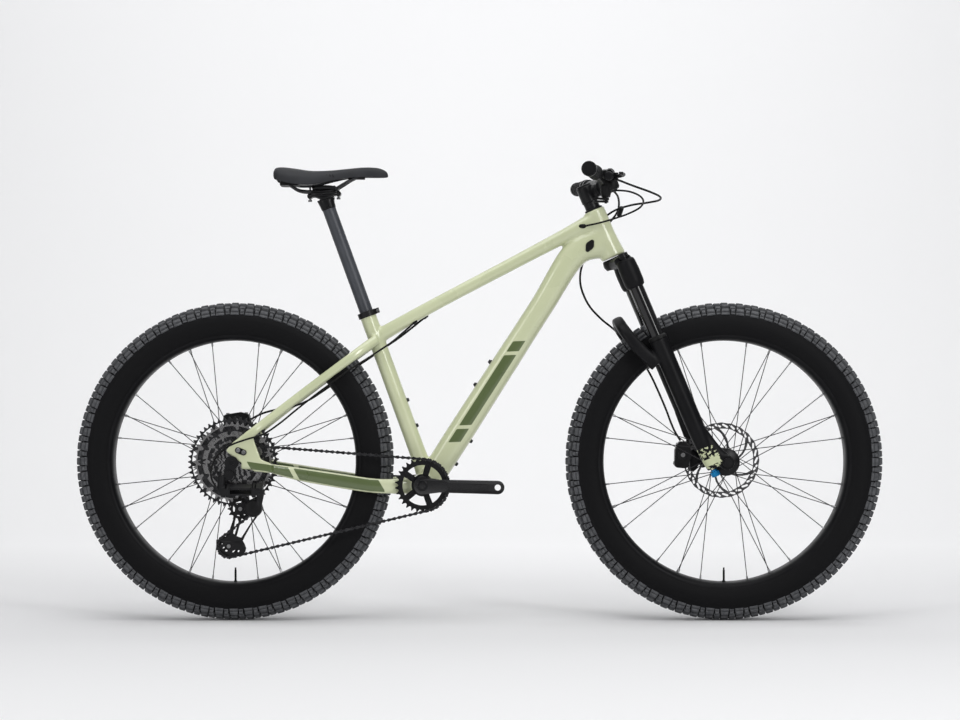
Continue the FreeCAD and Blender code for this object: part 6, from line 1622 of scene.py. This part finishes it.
def makeFittings():
    bosses = []
    for middle, way, outward in fittings["bossPairs"]:
        for sign in (-1, 1):
            foot = middle + way * fittings["bossReach"] * sign - outward * fittings["bossSink"]
            bosses.append(turnedShell(foot, outward, fittings["boss"], 28))
    settle(makePiece("bossBolts", bosses, darkSteel, 0.2), "frame", "black_plastic", "frame_fittings")
    cover = hullPoints(fittings["cover"], 28)
    shells = [plateShell(cover, [], near, far, wheelPlace(fittings["coverMiddle"]))
              for near, far in fittings["coverFaces"]]
    settle(makePiece("portCovers", shells, plasticBlack, 1.2, steps=3), "frame", "black_plastic",
           "frame_fittings")
    ports = []
    for sign in (-1, 1):
        mouth, way = (Vector((x, sign * y, z)) for x, y, z in (fittings["portMouth"], fittings["portWay"]))
        ports.append(turnedShell(mouth - way * fittings["portSink"], way, fittings["port"], 24))
    for mouth, way in fittings["exits"]:
        ports.append(turnedShell(mouth - way.normalized() * fittings["exitSink"], way, fittings["exit"], 24))
    settle(makePiece("cablePorts", ports, hoseBlack), "frame", "black_plastic", "frame_fittings")


makeControls()
for name, (centre, way, body) in caliper["places"].items():
    makeCaliper(name, centre, way.normalized(), body)
makeFittings()
print("stage: controls ready")

# Seat: post, collar, clamp and saddle; the saddle's side outline is (x, top, skirt, half width)
saddleOutline = [
    (-485, 1056, 1046, 34), (-480, 1064, 1034, 58), (-466, 1066.5, 1029, 67), (-436, 1063.5, 1022, 70),
    (-396, 1058, 1021.5, 58), (-352, 1059, 1031, 37), (-312, 1063, 1039, 24), (-272, 1066.5, 1041.5, 19),
    (-240, 1065, 1041.5, 17), (-222, 1058, 1042, 12), (-216, 1050, 1044, 6)]
post = {
    "foot": 330, "tube": [(0, 15.8), (352, 15.8), (366, 16.2), (376, 17.5), (381, 16)], "collarFoot": 419,
    "collar": [(0, 20), (0.6, 22.4), (12.6, 22.4), (13.6, 21), (14, 16.2)], "lugHeight": 426, "lugAhead": 24,
    "lug": (6, 9, 6), "pinAhead": 26, "pinSide": -12,
    "pin": [(0, 2), (0, 3.4), (3, 3.6), (3.2, 2.2), (20, 2.2)]}
saddle = {
    "sides": 56, "steps": 4, "flatPower": 0.72, "topPower": 0.62, "crown": 0.1, "underShare": 0.42,
    "underPower": 0.8, "softness": 0.9, "basePower": 3.0, "railRadius": 3.5,
    "base": (
        (-470, 0, 1044, 44, 9), (-436, 0, 1036, 56, 10), (-396, 0, 1034, 44, 8), (-340, 0, 1044, 24, 6),
        (-250, 0, 1048, 12, 4)),
    "blocks": ((Vector((-448, 0, 1027)), (22, 40, 5)), (Vector((-290, 0, 1043)), (20, 14, 5))),
    "rail": (
        (-456, 36, 1031), (-444, 30, 1022), (-427, 23, 1012), (-405, 22, 1008.5), (-362, 22, 1009),
        (-342, 22, 1013.5), (-322, 20, 1025), (-302, 15, 1037), (-286, 11, 1044)),
    "vents": 5, "ventStart": -20, "ventStep": 7, "vent": (0, 0, 1.9, 3.4, 0.7, 4), "ventDeep": 1.2,
    "ventMiddle": Vector((-352, -34.5, 1044)), "ventWay": Vector((1, 0.16, 0.03))}
railClamp = {
    "neck": 711.4, "neckRows": ((seatUp * -22, 17, 17), (seatUp * -6, 18, 19), (up * 3, 17, 22)),
    "neckPower": 2.4, "voxel": 1.3,
    "yokes": (
        (((-402, 13, 998, 6, 5), (-388, 14, 1000, 8, 4.5), (-366, 15, 994, 9, 5), (-344, 14, 1003, 8, 4.5),
          (-331, 13, 1004, 6, 5)),
         2.8),
        (((-396, 22, 1004.5, 7, 3), (-366, 22, 1004, 8, 3.4), (-336, 22, 1006, 7, 3)), 3.0),
        (((-394, 22, 1015, 8, 4), (-380, 22, 1018, 9, 5), (-352, 22, 1018, 9, 5), (-338, 22, 1015, 8, 4)),
         3.2)),
    "boltPlaces": ((-400, 998), (-333, 1004)), "barrelHalf": 15, "barrel": 6.5,
    "barPlaces": ((-390, 1018), (-342, 1018)), "barHalf": 26, "bar": 4.5, "boltDrop": 13, "boltTop": 1032,
    "bolt": [(0, 3), (0, 4.4), (4.5, 4.6), (5, 2.4)], "shank": 2.4}


def saddleRings():
    rings, sides = [], saddle["sides"]
    columns = [spread([row[i] for row in saddleOutline], saddle["steps"]) for i in range(4)]
    for x, top, low, half in zip(*columns):
        ring = []
        for i in range(sides):
            c, v = math.cos(math.tau * i / sides), math.sin(math.tau * i / sides)
            u = math.copysign(abs(c) ** saddle["flatPower"], c)
            if v >= 0:
                share = (v ** saddle["topPower"]) * (1 - saddle["crown"] * u * u)
            else:
                share = saddle["underShare"] * abs(v) ** saddle["underPower"]
            ring.append(Vector((x, u * half, low + (top - low) * share)))
        rings.append(ring)
    return rings


def stationRows(rows, sign=1):
    return [(Vector((x, sign * y, z)), *halves) for x, y, z, *halves in rows]


def crossRod(x, z, half, radius, sides):
    return rodShell(Vector((x, -half, z)), Vector((x, half, z)), radius, sides=sides)


def makePost():
    tube = [turnedShell(seat(post["foot"]), seatUp, post["tube"], 56)]
    settle(makePiece("postTube", tube, postBlack, 0.5), "seat", "black_alloy", "seatpost")
    band = [turnedShell(seat(post["collarFoot"]), seatUp, post["collar"], 48),
            blockShell(seat(post["lugHeight"], post["lugAhead"]), seatAhead, left, seatUp, post["lug"])]
    settle(makePiece("collarBand", band, satinBlack, 0.5), "frame", "black_alloy", "seat_collar")
    pin = [turnedShell(seat(post["lugHeight"], post["pinAhead"], post["pinSide"]), left, post["pin"], 20)]
    settle(makePiece("collarBolt", pin, boltSteel), "frame", "dark_steel", "seat_collar")


def makeSaddle():
    pad = makePiece("saddlePadCover", [loftShell(saddleRings())], saddleCover, 0, 80)
    soft = pad.modifiers.new("soft", "SUBSURF")
    soft.levels = soft.render_levels = 1
    baked(pad)
    shaded(pad, 85)
    settle(pad, "seat", "saddle_cover", "saddle_pad")
    base = [tubeShell(stationRows(saddle["base"]), saddle["basePower"])]
    base += [blockShell(middle, forward, left, up, halves) for middle, halves in saddle["blocks"]]
    settle(makePiece("saddleBase", base, plasticBlack, 1.5, steps=3), "seat", "black_plastic", "saddle_shell")
    rails = []
    for sign in (-1, 1):
        path = smoothPath([(x, sign * y, z) for x, y, z in saddle["rail"]])
        rails.append(sweepShell(path, saddle["railRadius"], 16))
    settle(makePiece("saddleRails", rails, darkSteel), "seat", "dark_steel", "saddle_mount")


def makeRailClamp():
    yoke = []
    for sign in (-1, 1):
        yoke += [tubeShell(stationRows(rows, sign), power) for rows, power in railClamp["yokes"]]
    neck = seat(railClamp["neck"])
    yoke.append(tubeShell([(neck + way, *halves) for way, *halves in railClamp["neckRows"]],
                          railClamp["neckPower"]))
    yoke += [crossRod(x, z, railClamp["barrelHalf"], railClamp["barrel"], 24)
             for x, z in railClamp["boltPlaces"]]
    yoke += [crossRod(x, z, railClamp["barHalf"], railClamp["bar"], 20) for x, z in railClamp["barPlaces"]]
    skin = grownTogether("saddleClamp", yoke, anodBlack, railClamp["voxel"], 3)
    settle(skin, "seat", "black_alloy", "saddle_mount")
    bolts = []
    for x, z in railClamp["boltPlaces"]:
        profile = railClamp["bolt"] + [(railClamp["boltTop"] - z, railClamp["shank"])]
        bolts.append(turnedShell(Vector((x, 0, z - railClamp["boltDrop"])), up, profile, 20))
    settle(makePiece("saddleClampBolts", bolts, boltSteel, 0.3), "seat", "dark_steel", "saddle_mount")


def makeSeat():
    makePost()
    makeSaddle()
    makeRailClamp()
    vents = []
    for i in range(saddle["vents"]):
        middle = saddle["ventMiddle"] + saddle["ventWay"] * (saddle["ventStart"] + saddle["ventStep"] * i)
        outline = slotPoints(*saddle["vent"])
        vents.append(plateShell(outline, [], -saddle["ventDeep"], 0,
                                lambda u, v, d, at=middle: at + Vector((u, d, v))))
    settle(makePiece("saddleVentMarks", vents, plasticBlack), "seat", "saddle_cover")


makeSeat()
print("stage: seat ready")

# Hoses and cable: the CAD cords' route points in metres; the two rear runs start further up, in the top tube
routes = {
    "frontHose": [
        (.306, .1725, 1.029), (.316, .14, 1.024), (.332, .112, 1.004), (.33, .086, .968), (.302, .066, .93),
        (.268, .058, .884), (.244, .056, .838), (.24, .058, .792), (.258, .064, .746), (.288, .078, .712),
        (.322, .096, .685), (.356, .107, .652), (.386, .11, .615), (.41, .108, .576), (.429, .103, .535),
        (.446, .095, .494), (.457, .085, .463), (.466, .073, .441), (.4775, .057, .421)],
    "rearHoseFront": [
        (.306, -.1725, 1.029), (.324, -.142, 1.026), (.356, -.114, 1.016), (.396, -.086, 1.004),
        (.422, -.048, .995), (.423, -.004, .989), (.398, .028, .985), (.36, .045, .98), (.322, .051, .968),
        (.292, .047, .948), (.27, .037, .934), (.2478, .0256, .9272)],
    "rearHoseBack": [
        (-.108, .003, .7325), (-.13, .008, .7125), (-.16, .017, .6885), (-.192, .028, .664),
        (-.222, .038, .644), (-.254, .05, .622), (-.29, .062, .598), (-.33, .066, .569), (-.372, .067, .539),
        (-.412, .066, .514), (-.45, .066, .5), (-.488, .07, .493), (-.52, .076, .484), (-.5468, .08, .4705)],
    "shiftFront": [
        (.309, -.206, 1.0), (.34, -.2, .998), (.366, -.176, .99), (.378, -.14, .979), (.372, -.103, .966),
        (.346, -.076, .953), (.312, -.057, .942), (.278, -.041, .933), (.2478, -.0256, .9272)],
    "shiftBack": [
        (-.134, -.005, .7195), (-.154, -.01, .7005), (-.18, -.02, .677), (-.208, -.031, .653),
        (-.24, -.042, .631), (-.272, -.054, .61), (-.306, -.066, .588), (-.344, -.072, .56),
        (-.384, -.077, .53), (-.426, -.084, .497), (-.466, -.096, .464), (-.502, -.112, .44),
        (-.541, -.121, .428), (-.58, -.125, .413), (-.609, -.125, .388), (-.622, -.123, .358),
        (-.62, -.1223, .335), (-.6106, -.1221, .3185)]}


# a hose that crosses a joint stays in place, attached to no body; the two bodies and two points listed for it
# are not used
hoses = {
    "brake": 2.5, "shift": 2.2, "steps": 5, "sides": 14,
    "tie": (Vector((332, 60, 955)), Vector((338, 44, 975)), 5.4),
    "spans": {
        "frontHose": ("fork_upper", "fork_lower", Vector((.33, .1, .68)), Vector((.44, .1, .51))),
        "rearHoseFront": ("frame", "fork_upper", Vector((.255, .02, .93)), Vector((.41, -.05, 1.0))),
        "shiftFront": ("frame", "fork_upper", Vector((.255, -.03, .93)), Vector((.36, -.16, .985)))},
    "nodes": {
        "frontHose": "front_brake_hose", "rearHoseFront": "rear_brake_hose",
        "rearHoseBack": "rear_brake_hose", "shiftFront": "shift_cable", "shiftBack": "shift_cable"}}


def makeCable(name, node):
    points = [Vector(p) / unit for p in routes[name]]
    radius = hoses["shift" if node == "shift_cable" else "brake"]
    shell = sweepShell(smoothPath(points, hoses["steps"]), radius, hoses["sides"])
    obj = makePiece(name, [shell], hoseBlack)
    if name in hoses["spans"]:
        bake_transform(obj)
    else:
        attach(obj, "frame")
    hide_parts(node)


def makeHoseTie():
    tie = makePiece("hoseClip", [rodShell(*hoses["tie"], sides=20)], plasticBlack, 0.6)
    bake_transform(tie)


for name, node in hoses["nodes"].items():
    makeCable(name, node)
makeHoseTie()
print("stage: hoses ready")

# CAD nodes that keep their shape take the finer finishes
kept = {
    "derailleur_hanger": satinBlack, "frame_bearings": anodBlack, "rear_axle": anodBlack,
    "brake_lever_right": satinBlack, "brake_lever_left": satinBlack, "shift_paddle_main": plasticBlack,
    "shift_paddle_release": plasticBlack, "front_axle": anodBlack, "derailleur_knuckle": satinBlack,
    "derailleur_outer_link": satinBlack, "derailleur_inner_link": satinBlack, "derailleur_body": satinBlack}
for node, material in kept.items():
    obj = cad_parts[node]
    for i in range(len(obj.material_slots)):
        obj.material_slots[i].material = material
